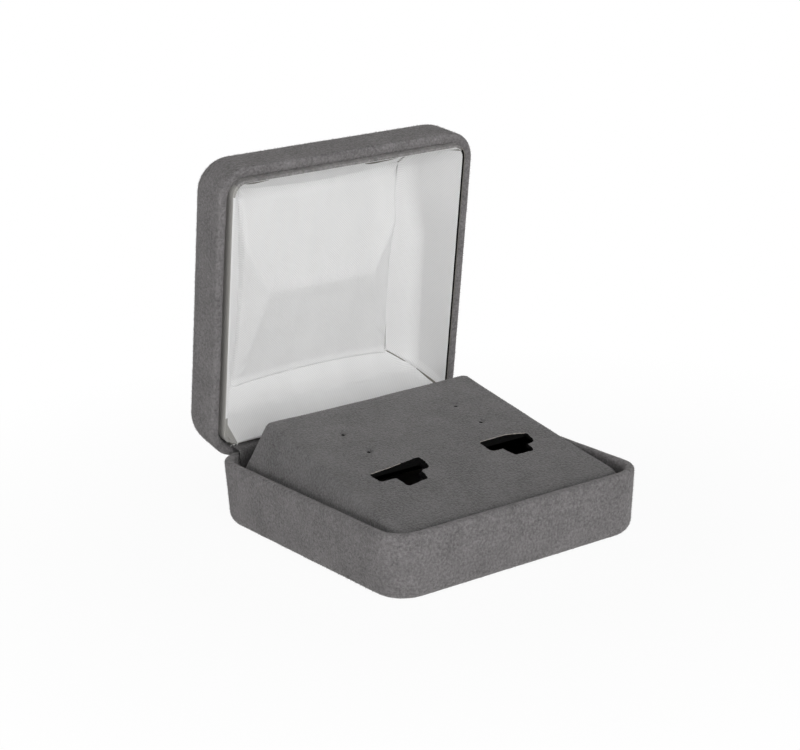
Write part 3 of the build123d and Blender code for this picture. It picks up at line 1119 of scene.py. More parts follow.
    def build(self, finishes: Finishes) -> None:
        """Makes the cover and its pile."""
        section = self._section()
        rings = [self._points(*step) for step in section]
        caps = [np.array([share, share, 1.0]) for share in self.caps]
        rings = [rings[0] * cap for cap in caps] + rings + [rings[-1] * cap for cap in caps[::-1]]
        count, total = len(rings[0]), len(rings) * len(rings[0])
        ends = [[0.0, 0.0, -self.height], [0.0, 0.0, rings[-1][0, 2]]]
        faces = skin_faces(len(rings), count)
        faces += fan_faces(0, count, total) + fan_faces(total - count, count, total + 1)
        cover = make_object(self.name, self._stood(np.vstack([*rings, ends])), faces)
        materials = [finishes.get(name) for name in ("outer", "backing", "outer")]
        bands = [*self._bands(section), self.far_face, Face.BACK]
        lay_materials(cover, materials, np.repeat(bands, count))
        tidy_mesh(cover)
        self._ripple(cover)
        cut(cover, [self._notch(block) for block in self.notches], materials)
        smooth(cover, 50.0)
        hand_over(cover, self.body, materials, (self.node,))
        self.pile.grow(cover, self.body, Slot.BOX_VELOUR, materials[0])


@dataclass
class LidCover(BoxCover):
    """Velour round the lid, with its deeper edge and fuller turn-in."""

    name: str = "lid_cover"
    body: Body = Body.LID
    node: str = "lid_velour"
    height: float = 14.5
    edge_radius: float = 7.3
    rim_level: float = 15.5
    pleat_height: float = 0.45
    bulge: float = 0.35
    front_reach: float = 0.85
    right_reach: float = 0.55
    pucker: float = 0.35
    corner_dent: float = 0.4
    far_face: Face = Face.PILE
    notches: tuple[Block, ...] = (
        (5.35, 32.55, 34.05, 14.5, 16.4),
        (13.5, 32.0, 33.4, 16.0, 23.7),
    )


@dataclass
class InsertCover:
    """Velour over the wedge-shaped insert, with its T slots and pin holes."""

    foot: Outline = Outline(32.1, 32.1, -32.6, 30.5, 5.0, rear_radius=1.6)
    foot_level: float = 9.0
    hem_level: float = 4.0
    top: Outline = Outline(30.8, 28.3, -31.2, 21.8, 2.8, rear_radius=1.2)
    top_middle: float = 20.964
    slope: float = 0.22
    cloth: float = 0.5
    shift: float = -0.35
    shift_level: float = 14.5
    shift_run: float = 3.5
    front_round: float = 1.3
    left_round: float = 1.7
    right_round: float = 3.2
    rear_round: float = 3.7
    slots: tuple = (
        (
            (-21.5, -8.1), (-21.2, -11.9), (-17.0, -11.9), (-16.7, -15.9),
            (-10.7, -15.1), (-10.1, -11.7), (-7.2, -10.9), (-6.8, -6.5),
        ),
        (
            (9.6, -7.1), (9.8, -11.5), (12.9, -11.7), (13.5, -15.3), (18.8, -15.4),
            (19.4, -12.7), (21.9, -11.7), (22.3, -8.3), (17.0, -6.9),
        ),
    )
    slot_step: float = 0.3
    slot_inset: float = 0.08
    slot_waves: tuple = ((0.55, 3.0, 0.22), (2.1, 7.0, 0.16))
    hole_radius: float = 0.36
    hole_sides: int = 12
    holes: tuple = ((-15.95, 9.9), (-15.3, 0.8), (15.95, 9.9), (16.5, 1.1))
    cutter_lifts: tuple[float, float] = (1.5, -6.0)
    dimple: float = 0.75
    dimple_size: float = 0.85
    dimple_reach: float = 2.6
    lint_paths: tuple = (
        ((-21.0, -8.1), (-16.0, -7.6), (-12.5, -7.1)),
        ((9.9, -7.0), (13.5, -6.9), (17.0, -6.85), (19.5, -7.4), (22.0, -8.2)),
    )
    lint_strands: int = 3
    lint_steps: int = 40
    pile: Pile = Pile(density=6.5, length=0.2, width=0.07, seed=5)

    def _top_point(self, x: float, along: float, lift: float) -> np.ndarray:
        """A point on the sloping top from its place along the slope, lifted square to it."""
        cosine = math.cos(math.atan(self.slope))
        sine = math.sin(math.atan(self.slope))
        level = self.top_middle + along * sine + lift * cosine
        return np.array([x, along * cosine - lift * sine, level])

    def _edge_radius(self, foot: np.ndarray) -> np.ndarray:
        """Radius of the top's edge above each point of the foot, by the side that it faces."""
        tangent = np.roll(foot[:, :2], -1, axis=0) - np.roll(foot[:, :2], 1, axis=0)
        tangent /= np.linalg.norm(tangent, axis=1)[:, None]
        right, rear = tangent[:, 1], -tangent[:, 0]
        side_round = np.where(right > 0, self.right_round, self.left_round)
        radius = self.front_round * np.clip(-rear, 0, 1) ** 2 + side_round * right**2
        return radius + self.rear_round * np.clip(rear, 0, 1) ** 2

    def _rings(self) -> np.ndarray:
        """Rings of the outer face, from the hem up and in to the middle of the top."""
        hem, low = self.foot.points(self.hem_level), self.foot.points(self.foot_level)
        high = self.top.points()
        high[:, 2] = self.top_middle + self.slope * high[:, 1]
        middle_y = (self.top.front + self.top.rear) / 2
        centre = np.array([0.0, middle_y, self.top_middle + self.slope * middle_y])
        down, inwards = low - high, centre - high
        down_length = np.linalg.norm(down, axis=1)
        in_length = np.linalg.norm(inwards, axis=1)
        angle = np.arccos(np.sum(down * inwards, axis=1) / down_length / in_length)
        reach = self._edge_radius(low) / np.tan(angle / 2)
        start = high + down * (reach / down_length)[:, None]
        shares = [np.minimum(reach / down_length, 0.9), np.minimum(reach / in_length, 0.45)]
        curve = rounded([low, high, centre + np.zeros_like(high)], shares, 9)
        rings = [hem, *between(hem, low, np.linspace(1 / 5, 1, 5))]
        rings += between(low, start, np.linspace(1 / 9, 1, 8, endpoint=False))
        rings += [*curve, *between(centre, curve[-1], np.linspace(1, 0.03, 46)[1:])]
        rings = np.array(rings)
        below = (self.shift_level - rings[:, :, 2]) / self.shift_run
        rings[:, :, 0] += self.shift * np.clip(below, 0.0, 1.0)
        return rings

    def _slot_outline(self, corners: tuple) -> list:
        """Outline of one T slot on the slope, wandering as cut cloth does."""
        outline = []
        for corner, following in zip(corners, corners[1:] + corners[:1]):
            corner = np.array(corner)
            leg = np.array(following) - corner
            length = np.linalg.norm(leg)
            steps = max(int(length / self.slot_step), 3)
            along = leg / length
            for step in range(1, steps):
                spot = corner + leg * step / steps
                wander = sum(
                    noise.noise(Vector((*(spot * pace), seed))) * height
                    for pace, seed, height in self.slot_waves
                )
                pinch = self.slot_inset if min(step, steps - step) == 1 else 0.0
                inwards = wander + pinch - self.slot_inset
                outline.append(spot + np.array([-along[1], along[0]]) * inwards)
        return outline

    def _hole_outline(self, x: float, along: float) -> list:
        """Outline of one pin hole on the slope."""
        turns = [2 * math.pi * i / self.hole_sides for i in range(self.hole_sides)]
        radius = self.hole_radius
        return [(x + radius * math.cos(t), along + radius * math.sin(t)) for t in turns]

    def _prism(self, outline: list) -> Piece:
        """A cutter that passes square through the top, from its outline on the slope."""
        count = len(outline)
        rows = [self._top_point(x, y, lift) for lift in self.cutter_lifts for x, y in outline]
        caps = [tuple(range(count)), tuple(reversed(range(count, 2 * count)))]
        return make_cutter(np.array(rows), skin_faces(2, count) + caps)

    def _press_dimples(self, cover: Piece) -> None:
        """Refines the top round each pin hole and presses a dimple into it."""
        shape = bmesh.new()
        shape.from_mesh(cover.data)
        centres = [Vector(self._top_point(x, row, 0.0) * MM) for x, row in self.holes]
        reach = self.dimple_reach * MM
        for centre in centres:
            near = [e for e in shape.edges if all((v.co - centre).length < reach for v in e.verts)]
            bmesh.ops.subdivide_edges(shape, edges=near, cuts=2, use_grid_fill=True)
        for vert in shape.verts:
            sag = 0.0
            for centre in centres:
                gap = (vert.co - centre).length / MM / self.dimple_size
                sag += self.dimple * math.exp(-gap * gap)
            place = vert.co / MM
            wander = noise.noise(place / 9.0) * 0.12 + noise.noise(place / 2.5) * 0.04
            vert.co.z += (wander - sag) * MM
        shape.to_mesh(cover.data)
        shape.free()

    def _lint(self, finishes: Finishes) -> None:
        """Pale fibres that stand along the rear edge of each slot."""
        strands = []
        for path in self.lint_paths:
            xs, ys = zip(*path)
            for strand in range(self.lint_strands):
                line = []
                for step in range(self.lint_steps + 1):
                    x = xs[0] + (xs[-1] - xs[0]) * step / self.lint_steps
                    sway = noise.noise(Vector((x * 1.3, strand * 3.1, xs[0])))
                    y = float(np.interp(x, xs, ys)) - 0.06 + 0.12 * sway
                    line.append(self._top_point(x, y, 0.06 + 0.12 * strand * abs(sway)))
                strands.append(np.array(line))
        made = make_threads("insert_slot_lint", finishes.get("lint"), strands)
        hand_over(made, Body.BASE, [])

    def build(self, finishes: Finishes) -> None:
        """Makes the cover, its pile and the loose fibres at the slots' edges."""
        rings = self._rings()
        count = rings.shape[1]
        points = rings.reshape(-1, 3)
        faces = skin_faces(len(rings), count) + fan_faces(len(points) - count, count, len(points))
        points = np.vstack([points, points[-count:].mean(axis=0)])
        cover = make_object("insert_cover", points, faces)
        self._press_dimples(cover)
        if cover.data.polygons[-1].normal.z < 0:
            cover.data.flip_normals()
        materials = [finishes.get("pad"), finishes.get("backing")]
        lay_materials(cover, materials)
        wall = {"thickness": self.cloth * MM, "offset": -1.0, "material_offset": int(Face.BACK)}
        add_modifier(cover, "SOLIDIFY", use_even_offset=True, **wall)
        freeze(cover)
        outlines = [self._slot_outline(corners) for corners in self.slots]
        outlines += [self._hole_outline(x, row) for x, row in self.holes]
        cut(cover, [self._prism(outline) for outline in outlines], materials)
        smooth(cover, 50.0)
        hand_over(cover, Body.BASE, materials, ("insert_velour",))
        self.pile.grow(cover, Body.BASE, Slot.INSERT_VELOUR, materials[0])
        self._lint(finishes)


@dataclass(frozen=True)
class WallEnd:
    """Where a satin wall ends: tucks at its two mitres, and the cloth that is turned at the rim."""

    first_tuck: float
    last_tuck: float
    rim_finish: str
    rim_rows: int
    rows_left_out: int = 0


# Rim finishes: on the right wall a nearly black painted shadow gap, on the rear and left walls grey
# satin as painted shade, on the front the hem velour.
WALL_ENDS = {
    Wall.FRONT: WallEnd(0.06, 0.34, "hem", 11),
    Wall.RIGHT: WallEnd(0.34, 0.34, "backing", 11),
    Wall.REAR: WallEnd(0.34, 0.06, "selvedge", 0, rows_left_out=9),
    Wall.LEFT: WallEnd(0.06, 0.06, "selvedge", 9),
}


@dataclass
class LidLining:
    """Satin walls and the puffed panel in the lid, over their cards and wadding."""

    fold: Outline = Outline(22.5, 22.5, -25.2, 23.6, 1.2, draw_in=1.1)
    fold_level: float = 27.65
    knee: Outline = Outline(27.75, 29.9, -28.35, 28.6, 3.25)
    knee_level: float = 25.0
    rim_inset: float = 3.54
    rim_level: float = 14.6
    corner_radius: float = 3.4
    satin: float = 0.14
    slack_outset: float = 3.3
    slack_level: float = 26.1
    card_inset: float = 2.9
    front_shift: float = 0.1
    rear_shift: float = 0.6
    wrap: float = 2.6
    turn_steps: int = 5
    slack_from: float = 8.0
    slack_run: float = 16.0
    fold_bend: float = 0.3
    rim_bend: float = 0.16
    lean_level: float = 20.0
    lean_run: float = 5.4
    mitre_tuck: float = 0.33
    mitre_puff: float = 0.1
    puff_place: float = 1.6
    puff_width: float = 1.1
    wall_wave: float = 0.1
    wave_size: float = 4.5
    held_at_fold: float = 2.0
    held_at_end: float = 6.0
    held_run: float = 3.0
    front_turned: tuple[int, float, float] = (12, -27.0, -27.5)
    left_turned: tuple[int, float] = (16, 26.0)
    rear_turned: Triple = (-28.1, 15.2, 0.285)
    panel_base: float = 28.4
    crown: float = 2.9
    hip: float = 7.7
    side_fall: float = 0.0958
    side_drift: float = 0.01378
    fold_height: float = 0.08
    ridge_y: float = 0.5
    panel_satin: float = 0.3
    right_lean: float = 0.4
    edge_rise: float = 0.75
    right_rise: float = 1.05
    rear_rise: float = 0.45
    roll: float = 1.35
    roll_width: float = 2.6
    rear_lap: float = 0.6
    overlap: float = 0.3
    cushion_columns: int = 56
    cushion_rows: int = 60
    swell_scale: float = 20.0
    swell_limit: float = 0.3
    swell_frames: int = 20
    fray_start: Triple = (-28.3, 31.3, 14.55)
    fray_lean: Triple = (-0.25, 0.2, -0.04)
    fray_strands: int = 9
    fray_steps: int = 4

    def _rim_ring(self, inset: float, level: float) -> np.ndarray:
        """Outline at the lining's rim, inset from the outside of the lid."""
        half = BOX_HALF - inset
        front = inset - self.front_shift - BOX_HALF
        radius = self.corner_radius - (inset - self.card_inset)
        return Outline(half, half, front, half - self.rear_shift, radius).points(level)

    def _slack_ring(self) -> np.ndarray:
        """Outline of the slack cloth that swells beyond the fold."""
        fold, outset = self.fold, self.slack_outset
        half, front, rear = fold.front_half + outset, fold.front - outset, fold.rear + outset
        slack = Outline(half, half, front, rear, fold.radius + outset, fold.draw_in)
        return slack.points(self.slack_level)

    def _wall_rings(self) -> np.ndarray:
        """Rings of the walls' seen face, from the card at the fold to the end of the wrap."""
        fold, knee = self.fold.points(self.fold_level), self.knee.points(self.knee_level)
        rim = self._rim_ring(self.rim_inset, self.rim_level)
        frontness = np.clip((-knee[:, 1] - self.slack_from) / self.slack_run, 0.0, 1.0)
        knee = knee + (self._slack_ring() - knee) * frontness[:, None]
        soft = self.fold_bend + self.fold_bend * frontness
        reach = [soft, np.full(len(soft), self.rim_bend)]
        curve = rounded([fold, knee, rim], reach, 14)
        rings = [fold + (0.0, 0.0, self.panel_base - 0.1 - self.fold_level), fold + (0.0, 0.0, 0.3)]
        rings += between(fold, curve[0], np.linspace(0.0, 1.0, 5, endpoint=False))
        rings += [*curve, *between(curve[-1], rim, np.linspace(0.0, 1.0, 8)[1:])]
        level, satin, outer = self.rim_level, self.satin, self.card_inset - self.satin
        for sine, cosine in quarter_turn(self.turn_steps, 1):
            inset = self.rim_inset - satin * (1 - cosine)
            rings.append(self._rim_ring(inset, level - satin * sine))
        rings.append(self._rim_ring((self.rim_inset + outer) / 2, level - satin))
        for sine, cosine in reversed(quarter_turn(self.turn_steps)):
            rings.append(self._rim_ring(outer + satin * (1 - cosine), level - satin * sine))
        rings += [self._rim_ring(outer, level + self.wrap * share) for share in (0.3, 0.6, 1.0)]
        rings = np.array(rings)
        rightness = np.clip(rings[:, :, 0] / (BOX_HALF - self.rim_inset), 0.0, 1.0) ** 8
        lowness = np.clip((self.lean_level - rings[:, :, 2]) / self.lean_run, 0.0, 1.0)
        rings[:, :, 0] -= self.right_lean * rightness * lowness
        return rings

    def _lift(
        self, wall: Wall, grid: np.ndarray, spread: np.ndarray, depth: np.ndarray
    ) -> np.ndarray:
        """How far each point of a wall's cloth stands off its plain shape.

        Args:
            wall: the wall.
            grid: its points.
            spread: their way along the cloth from the first mitre.
            depth: their way down it from the fold.

        Returns:
            The lift of each point, in millimetres.
        """
        rest = spread[:, -1:] - spread
        to_mitre = np.minimum(spread, rest)
        deepest = np.where(spread < rest, WALL_ENDS[wall].first_tuck, WALL_ENDS[wall].last_tuck)
        tuck = deepest * np.exp(-((to_mitre / self.mitre_tuck) ** 2))
        off_puff = (to_mitre - self.puff_place) / self.puff_width
        puff = self.mitre_puff * np.exp(-(off_puff**2))
        to_end = depth.max() - self.held_at_end - depth
        held = np.clip(depth / self.held_at_fold, 0, 1) * np.clip(to_end / self.held_run, 0, 1)
        flat = grid.reshape(-1, 3) * np.array([1.0, 1.0, 0.45])
        wave = ripple(flat, self.wave_size, 2.0 + wall.value).reshape(depth.shape)
        return (puff + wave * self.wall_wave) * held - tuck * np.clip(depth, 0, 1)

    def _turned_faces(self, wall: Wall, grid: np.ndarray) -> np.ndarray:
        """Marks with 1 the faces past the rim and the turned cloth at the left corners."""
        # Faces marked 1 take the wall's rim finish, which is painted shade on the right, rear and
        # left walls.
        x, y, z = np.moveaxis(grid[:-1, :-1], 2, 0)
        to_end = len(grid) - np.indices(x.shape)[0]
        turned = to_end <= WALL_ENDS[wall].rim_rows
        if wall is Wall.REAR:
            left, level, slope = self.rear_turned
            turned |= x < left + (z - level) * slope
        if wall is Wall.LEFT:
            rows, rear = self.left_turned
            turned |= (to_end <= rows) & (y > rear)
        if wall is not Wall.RIGHT:
            rows, left, front = self.front_turned
            turned |= (to_end <= rows) & (y < front) & (x < left)
        return turned.ravel()

    def _build_wall(self, wall: Wall, rings: np.ndarray, finishes: Finishes) -> None:
        """Makes one satin wall, tucked in along its two mitres.

        Args:
            wall: the wall.
            rings: the rings of all four walls.
            finishes: the box's finishes.
        """
        end = WALL_ENDS[wall]
        count = rings.shape[1]
        quarter = count // 4
        columns = [(wall.value * quarter + i) % count for i in range(quarter + 1)]
        grid = rings[: len(rings) - end.rows_left_out, columns]
        rows, width = grid.shape[:2]
        centre = (rows // 2, width // 2)
        middle = grid[centre]
        normal = np.cross(np.gradient(grid, axis=0), np.gradient(grid, axis=1))
        normal /= np.maximum(np.linalg.norm(normal, axis=2), 1e-9)[:, :, None]
        if np.dot(normal[centre], np.array([0.0, 0.0, 20.0]) - middle) < 0:
            normal = -normal
        spread = np.cumsum(np.linalg.norm(np.diff(grid, axis=1), axis=2), axis=1)
        spread = np.concatenate([np.zeros((rows, 1)), spread], axis=1)
        depth = lengths_along(grid)
        grid = grid + normal * self._lift(wall, grid, spread, depth)[:, :, None]
        weave = np.stack([spread - spread[:, -1:] / 2, depth], axis=2).reshape(-1, 2)
        faces = grid_faces(rows, width)
        side = wall.name.lower()
        piece = make_object("lid_satin_" + side, opened(grid.reshape(-1, 3)), faces, weave)
        facing = opened(np.array([middle + normal[centre]])) - opened(np.array([middle]))
        if piece.data.polygons[len(faces) // 2].normal.dot(Vector(facing[0])) < 0:
            piece.data.flip_normals()
        materials = [finishes.get("satin"), finishes.get(end.rim_finish)]
        lay_materials(piece, materials, self._turned_faces(wall, grid))
        add_modifier(piece, "SOLIDIFY", thickness=self.satin * 0.8 * MM, offset=-1.0)
        freeze(piece)
        smooth(piece, 60.0)
        hand_over(piece, Body.LID, materials, ("lid_wall_satin_" + side,))

    def _roof(self, x: np.ndarray, y: np.ndarray) -> np.ndarray:
        """Height of the puffed panel, as a share of its crown.

        Args:
            x: place of each point across the panel.
            y: its place along it.

        Returns:
            The height of each point.
        """
        front = (y - self.fold.front) / (self.ridge_y - self.fold.front)
        rear = (self.fold.rear - y) / (self.fold.rear - self.ridge_y)
        across = np.abs(x) - (self.fold.front_half - self.hip)
        side = 1.0 - self.side_fall * across - self.side_drift * (y - self.ridge_y)
        slope = np.minimum(front, rear)
        off_hip = np.abs(side - slope) / 0.12
        off_ridge = np.abs(front - rear) / 0.082 + 4.0 * np.clip(across / 3.0, 0.0, 1.0)
        hips = np.exp(-((off_hip / 0.9) ** 2)) + 1.2 * np.exp(-((off_hip / 3.2) ** 2))
        ridge = self.fold_height * 0.9 * np.exp(-((off_ridge / 2.4) ** 2))
        held = np.clip(8.0 * np.minimum(slope, 1.0), 0.0, 1.0)
        folds = np.maximum(self.fold_height * hips * held, ridge)
        return self._least([front, rear, side], 0.03) + folds

    @staticmethod
    def _least(terms: list[np.ndarray], softness: float) -> np.ndarray:
        """The least of some terms, eased where they cross."""
        total = sum(np.exp(-np.clip(term, -1.0, 3.0) / softness) for term in terms)
        return np.clip(-softness * np.log(total), 0.0, 1.2)

    @staticmethod
    def _crowded(count: int, crowding: float) -> np.ndarray:
        """Places from -1 to 1 that lie closer together towards both ends."""
        turn = math.pi / 2
        return np.sin(np.linspace(-1, 1, count) * turn * crowding) / math.sin(turn * crowding)

    def _pillow(self) -> tuple[np.ndarray, list, np.ndarray]:
        """Points, faces and cloth places of the closed cushion, shut."""
        count_x, count_y = self.cushion_columns, self.cushion_rows
        columns, rows = self._crowded(count_x, 0.86), self._crowded(count_y, 0.7)
        middle_y = (self.fold.front + self.fold.rear) / 2
        half_y = (self.fold.rear - self.fold.front) / 2
        grid = np.zeros((count_y, count_x, 3))
        for j, v in enumerate(rows):
            for i, u in enumerate(columns):
                drawn_x = self.fold.front_half - self.fold.draw_in * (1 - v * v) + self.overlap
                drawn_y = half_y - self.fold.draw_in * (1 - u * u) + self.overlap
                lapped = self.rear_lap * max(v, 0.0) ** 6
                grid[j, i, :2] = (u * drawn_x, middle_y + v * drawn_y + lapped)
        lift = self._roof(grid[:, :, 0], grid[:, :, 1])
        edge = np.minimum(1 - np.abs(rows)[:, None], 1 - np.abs(columns)[None, :])
        rearness = np.clip((grid[:, :, 1] - 17.0) / 5.0, 0.0, 1.0)
        rightness = np.clip((grid[:, :, 0] - 17.0) / 4.0, 0.0, 1.0)
        border = self.edge_rise + (self.right_rise - self.edge_rise) * rightness
        border += (self.rear_rise - border) * rearness
        turned = np.clip(1.0 - (1.0 - rows[:, None]) * half_y / self.roll_width, 0.0, 1.0)
        border = border + self.roll * turned * turned
        rise = (border + lift * self.crown) * np.clip(edge * 60, 0, 1)
        grid[:, :, 2] = self.panel_base - rise
        top = grid.reshape(-1, 3)
        under = top.copy()
        under[:, 2] = self.panel_base
        faces = []
        for j in range(count_y - 1):
            for i in range(count_x - 1):
                a = j * count_x + i
                b = a + len(top)
                faces.append((a, a + count_x, a + count_x + 1, a + 1))
                faces.append((b, b + 1, b + count_x + 1, b + count_x))
        return np.vstack([top, under]), faces, np.tile(top[:, :2], (2, 1))

    def _swell(self, piece: Piece) -> None:
        """Puffs the cushion by a short cloth simulation, at twenty times its size."""
        scale = self.swell_scale
        copy = link_object("swelling", piece.data.copy())
        copy.data.transform(Matrix.Scale(scale, 4))
        start = np.array([v.co for v in copy.data.vertices])
        group = copy.vertex_groups.new(name="held")
        hold_level = self.panel_base * MM * scale - 0.1 * MM * scale
        held = [i for i, point in enumerate(start) if point[2] > hold_level]
        group.add(held, 1.0, "REPLACE")
        cloth = add_modifier(copy, "CLOTH")
        cloth.settings.vertex_group_mass = group.name
        cloth.settings.quality = 6
        cloth.settings.mass = 0.2
        cloth.settings.tension_stiffness = 12.0
        cloth.settings.compression_stiffness = 12.0
        cloth.settings.bending_stiffness = 1.2
        cloth.settings.use_pressure = True
        cloth.settings.uniform_pressure_force = 4.0
        cloth.settings.effector_weights.gravity = 0.0
        cloth.collision_settings.use_collision = False
        scene = bpy.context.scene
        for number in range(1, self.swell_frames + 1):
            scene.frame_set(number)
        view = bpy.context.evaluated_depsgraph_get()
        swollen = np.array([v.co for v in copy.evaluated_get(view).data.vertices])
        scene.frame_set(1)
        shift = (swollen - start) / scale
        length = np.linalg.norm(shift, axis=1)
        shift *= np.minimum(1.0, self.swell_limit * MM / np.maximum(length, 1e-12))[:, None]
        move_points(piece.data, start / scale + shift)
        discard(copy)
        log.info("panel swelled by up to %.2f mm", float(length.max()) / MM)

    def _build_panel(self, finishes: Finishes) -> None:
        """Makes the satin panel and the wadding under it."""
        panel = make_object("lid_puffed_panel", *self._pillow())
        tidy_mesh(panel, outward=False)
        self._swell(panel)
        shape = panel.data
        places, normals = surface_of(shape)
        rows = places / MM
        rise = np.clip((self.panel_base - rows[:, 2]) / 1.0, 0, 1)
        creases = ripple(rows * np.array([0.4, 1.0, 0.0]), 7.0, 6.0) * 0.1
        radial = ripple(rows * np.array([1.0, 0.25, 0.0]), 3.4, 9.0) * 0.06
        near_hip = np.clip((np.abs(rows[:, 0]) - 8.0) / 12.0, 0, 1)
        rows = rows + normals * ((creases + radial * near_hip) * rise)[:, None]
        rows[:, 2] = np.minimum(rows[:, 2], self.panel_base)
        packing = rows - normals * self.panel_satin
        packing[:, 2] = np.minimum(packing[:, 2], self.panel_base - 0.02)
        faces = [list(face.vertices) for face in shape.polygons]
        filling = make_object("lid_wadding_pad", opened(packing), faces)
        smooth(filling, 60.0)
        hand_over(filling, Body.LID, [finishes.get("wadding")], ("lid_wadding",))
        skin = self._upper_sheet(shape, opened(rows))
        smooth(skin, 60.0)
        hand_over(skin, Body.LID, [finishes.get("satin")], ("lid_satin_panel",))
        discard(panel)
        width, length = 2 * self.fold.front_half, self.fold.rear - self.fold.front
        flat = ((width - 0.4) * MM, (length - 0.4) * MM)

    def _upper_sheet(self, shape: bpy.types.Mesh, points: np.ndarray) -> Piece:
        """The cushion's satin: its seen faces, given the cloth's thickness.

        Args:
            shape: the cushion's mesh.
            points: its vertices with the lid open, in millimetres.

        Returns:
            The satin.
        """
        base = self.panel_base * MM
        faces, used = [], []
        for face in shape.polygons:
            if min(shape.vertices[i].co.z for i in face.vertices) < base - 0.001 * MM:
                faces.append(list(face.vertices))
                used.extend(face.vertices)
        order = {old: new for new, old in enumerate(sorted(set(used)))}
        kept = sorted(order)
        layer = shape.uv_layers[WEAVE_MAP].data
        weave = np.zeros((len(kept), 2))
        for loop in shape.loops:
            if loop.vertex_index in order:
                weave[order[loop.vertex_index]] = layer[loop.index].uv
        faces = [[order[i] for i in face] for face in faces]
        sheet = make_object("lid_puffed_panel_satin", points[kept], faces, weave)
        add_modifier(sheet, "SUBSURF", levels=1, render_levels=1)
        add_modifier(sheet, "SOLIDIFY", thickness=self.panel_satin * 0.8 * MM, offset=-1.0)
        freeze(sheet)
        return sheet

    def _fray(self, finishes: Finishes) -> None:
        """Loose white threads where the satin is cut at the lining's rear left corner."""
        strands = []
        for strand in range(self.fray_strands):
            start = np.array(self.fray_start) + (-0.22 * strand, 0.05 * (strand % 3), 0.0)
            lean = np.array(self.fray_lean) + (0.16 * (strand % 4), 0.0, 0.0)
            line = []
            for step in range(self.fray_steps + 1):
                spot = Vector((strand * 2.3, step * 0.7, 1.0))
                curl = [noise.noise(spot + Vector((9.3, -1.5, 7.9)) * axis) for axis in range(3)]
                line.append(start + lean * step * 0.4 + np.array(curl) * 0.09 * step)
            strands.append(opened(np.array(line)))
        made = make_threads("lid_satin_fray", finishes.get("thread"), strands)
        hand_over(made, Body.LID, [])

    def build(self, finishes: Finishes) -> None:
        """Makes the four walls, the loose threads and the panel."""
        rings = self._wall_rings()
        for wall in Wall:
            self._build_wall(wall, rings, finishes)
        self._fray(finishes)
        self._build_panel(finishes)


@dataclass
class HingeStrip:
    """Velour strip glued over the hinge, up the base's rear wall and into the lid."""

    half_width: float = 29.4
    foot_level: float = 3.0
    face_y: float = 31.875
    bend_level: float = 16.35
    bend_radius: float = 1.6
    end_y: float = 36.7
    end_rise: float = 0.4
    cloth: float = 0.35
    columns: int = 90
    blend_drop: float = 1.8

    def _path(self) -> np.ndarray:
        """Middle line of the strip in the YZ plane, from its foot."""
        start = np.array([self.face_y, self.foot_level])
        corner = np.array([self.face_y, self.bend_level])
        end = np.array([self.end_y, self.bend_level + self.end_rise])
        up = np.array([0.0, 1.0])
        back = (end - corner) / np.linalg.norm(end - corner)
        before, after = corner - up * self.bend_radius, corner + back * self.bend_radius
        rows = between(start, before, np.linspace(0, 1, 16, endpoint=False))
        rows += [curve_place(before, corner, after, t) for t in np.linspace(0, 1, 10)]
        rows += between(after, end, np.linspace(0, 1, 7)[1:])
        return np.array(rows)

    def build(self, finishes: Finishes) -> None:
        """Makes the strip, bent round over the hinge, and leaves it on neither half."""
        path = self._path()
        half = self.half_width
        rows, weave = [], []
        travelled = lengths_along(path[:, None])[:, 0]
        for (y, z), place in zip(path, travelled):
            for x in np.linspace(-half, half, self.columns):
                slack = noise.noise(Vector((x * 0.12, z * 0.2, 3.0))) * 0.07
                edge = math.exp(-((half - abs(x)) / 0.8) ** 2) * 0.08
                fringe = noise.noise(Vector((z * 0.8, x * 0.01, 8.0))) * 0.15
                rows.append((x + fringe * (abs(x) / half) ** 8, y - slack - edge, z))
                weave.append((x, place))
        faces = grid_faces(len(path), self.columns)
        strip = make_object("hinge_velour_strip", np.array(rows), faces, np.array(weave))
        if strip.data.polygons[0].normal.y > 0:
            strip.data.flip_normals()
        materials = [finishes.get("strip"), finishes.get("backing")]
        lay_materials(strip, materials)
        wall = {"thickness": self.cloth * MM, "offset": 0.0, "material_offset": int(Face.BACK)}
        add_modifier(strip, "SOLIDIFY", **wall)
        freeze(strip)
        smooth(strip, 50.0)
        hand_over(strip, None, materials, ("hinge_strip",))
        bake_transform(strip)


@dataclass
class Hardware:
    """The CAD nodes that stay, by their finish."""

    steel: tuple[str, ...] = ("base_shell", "lid_shell")
    card: tuple[str, ...] = (
        "base_floor_card",
        "lid_back_card",
        *("lid_wall_card_" + side for side in ("left", "right", "front", "rear")),
    )
    hinge: tuple[str, ...] = (
        "base_hinge_leaf",
        "lid_hinge_leaf",
        "hinge_pin",
        "hinge_spring",
        "base_hinge_rivets",
        "lid_hinge_rivets",
    )
    former: tuple[str, ...] = ("insert_former",)

    def build(self, finishes: Finishes) -> None:
        """Gives each CAD node its own finish."""
        for finish, names in vars(self).items():
            for name in names:
                lay_materials(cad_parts[name], [finishes.get(finish)])
                log.info("%s: CAD node, %s", name, finish)


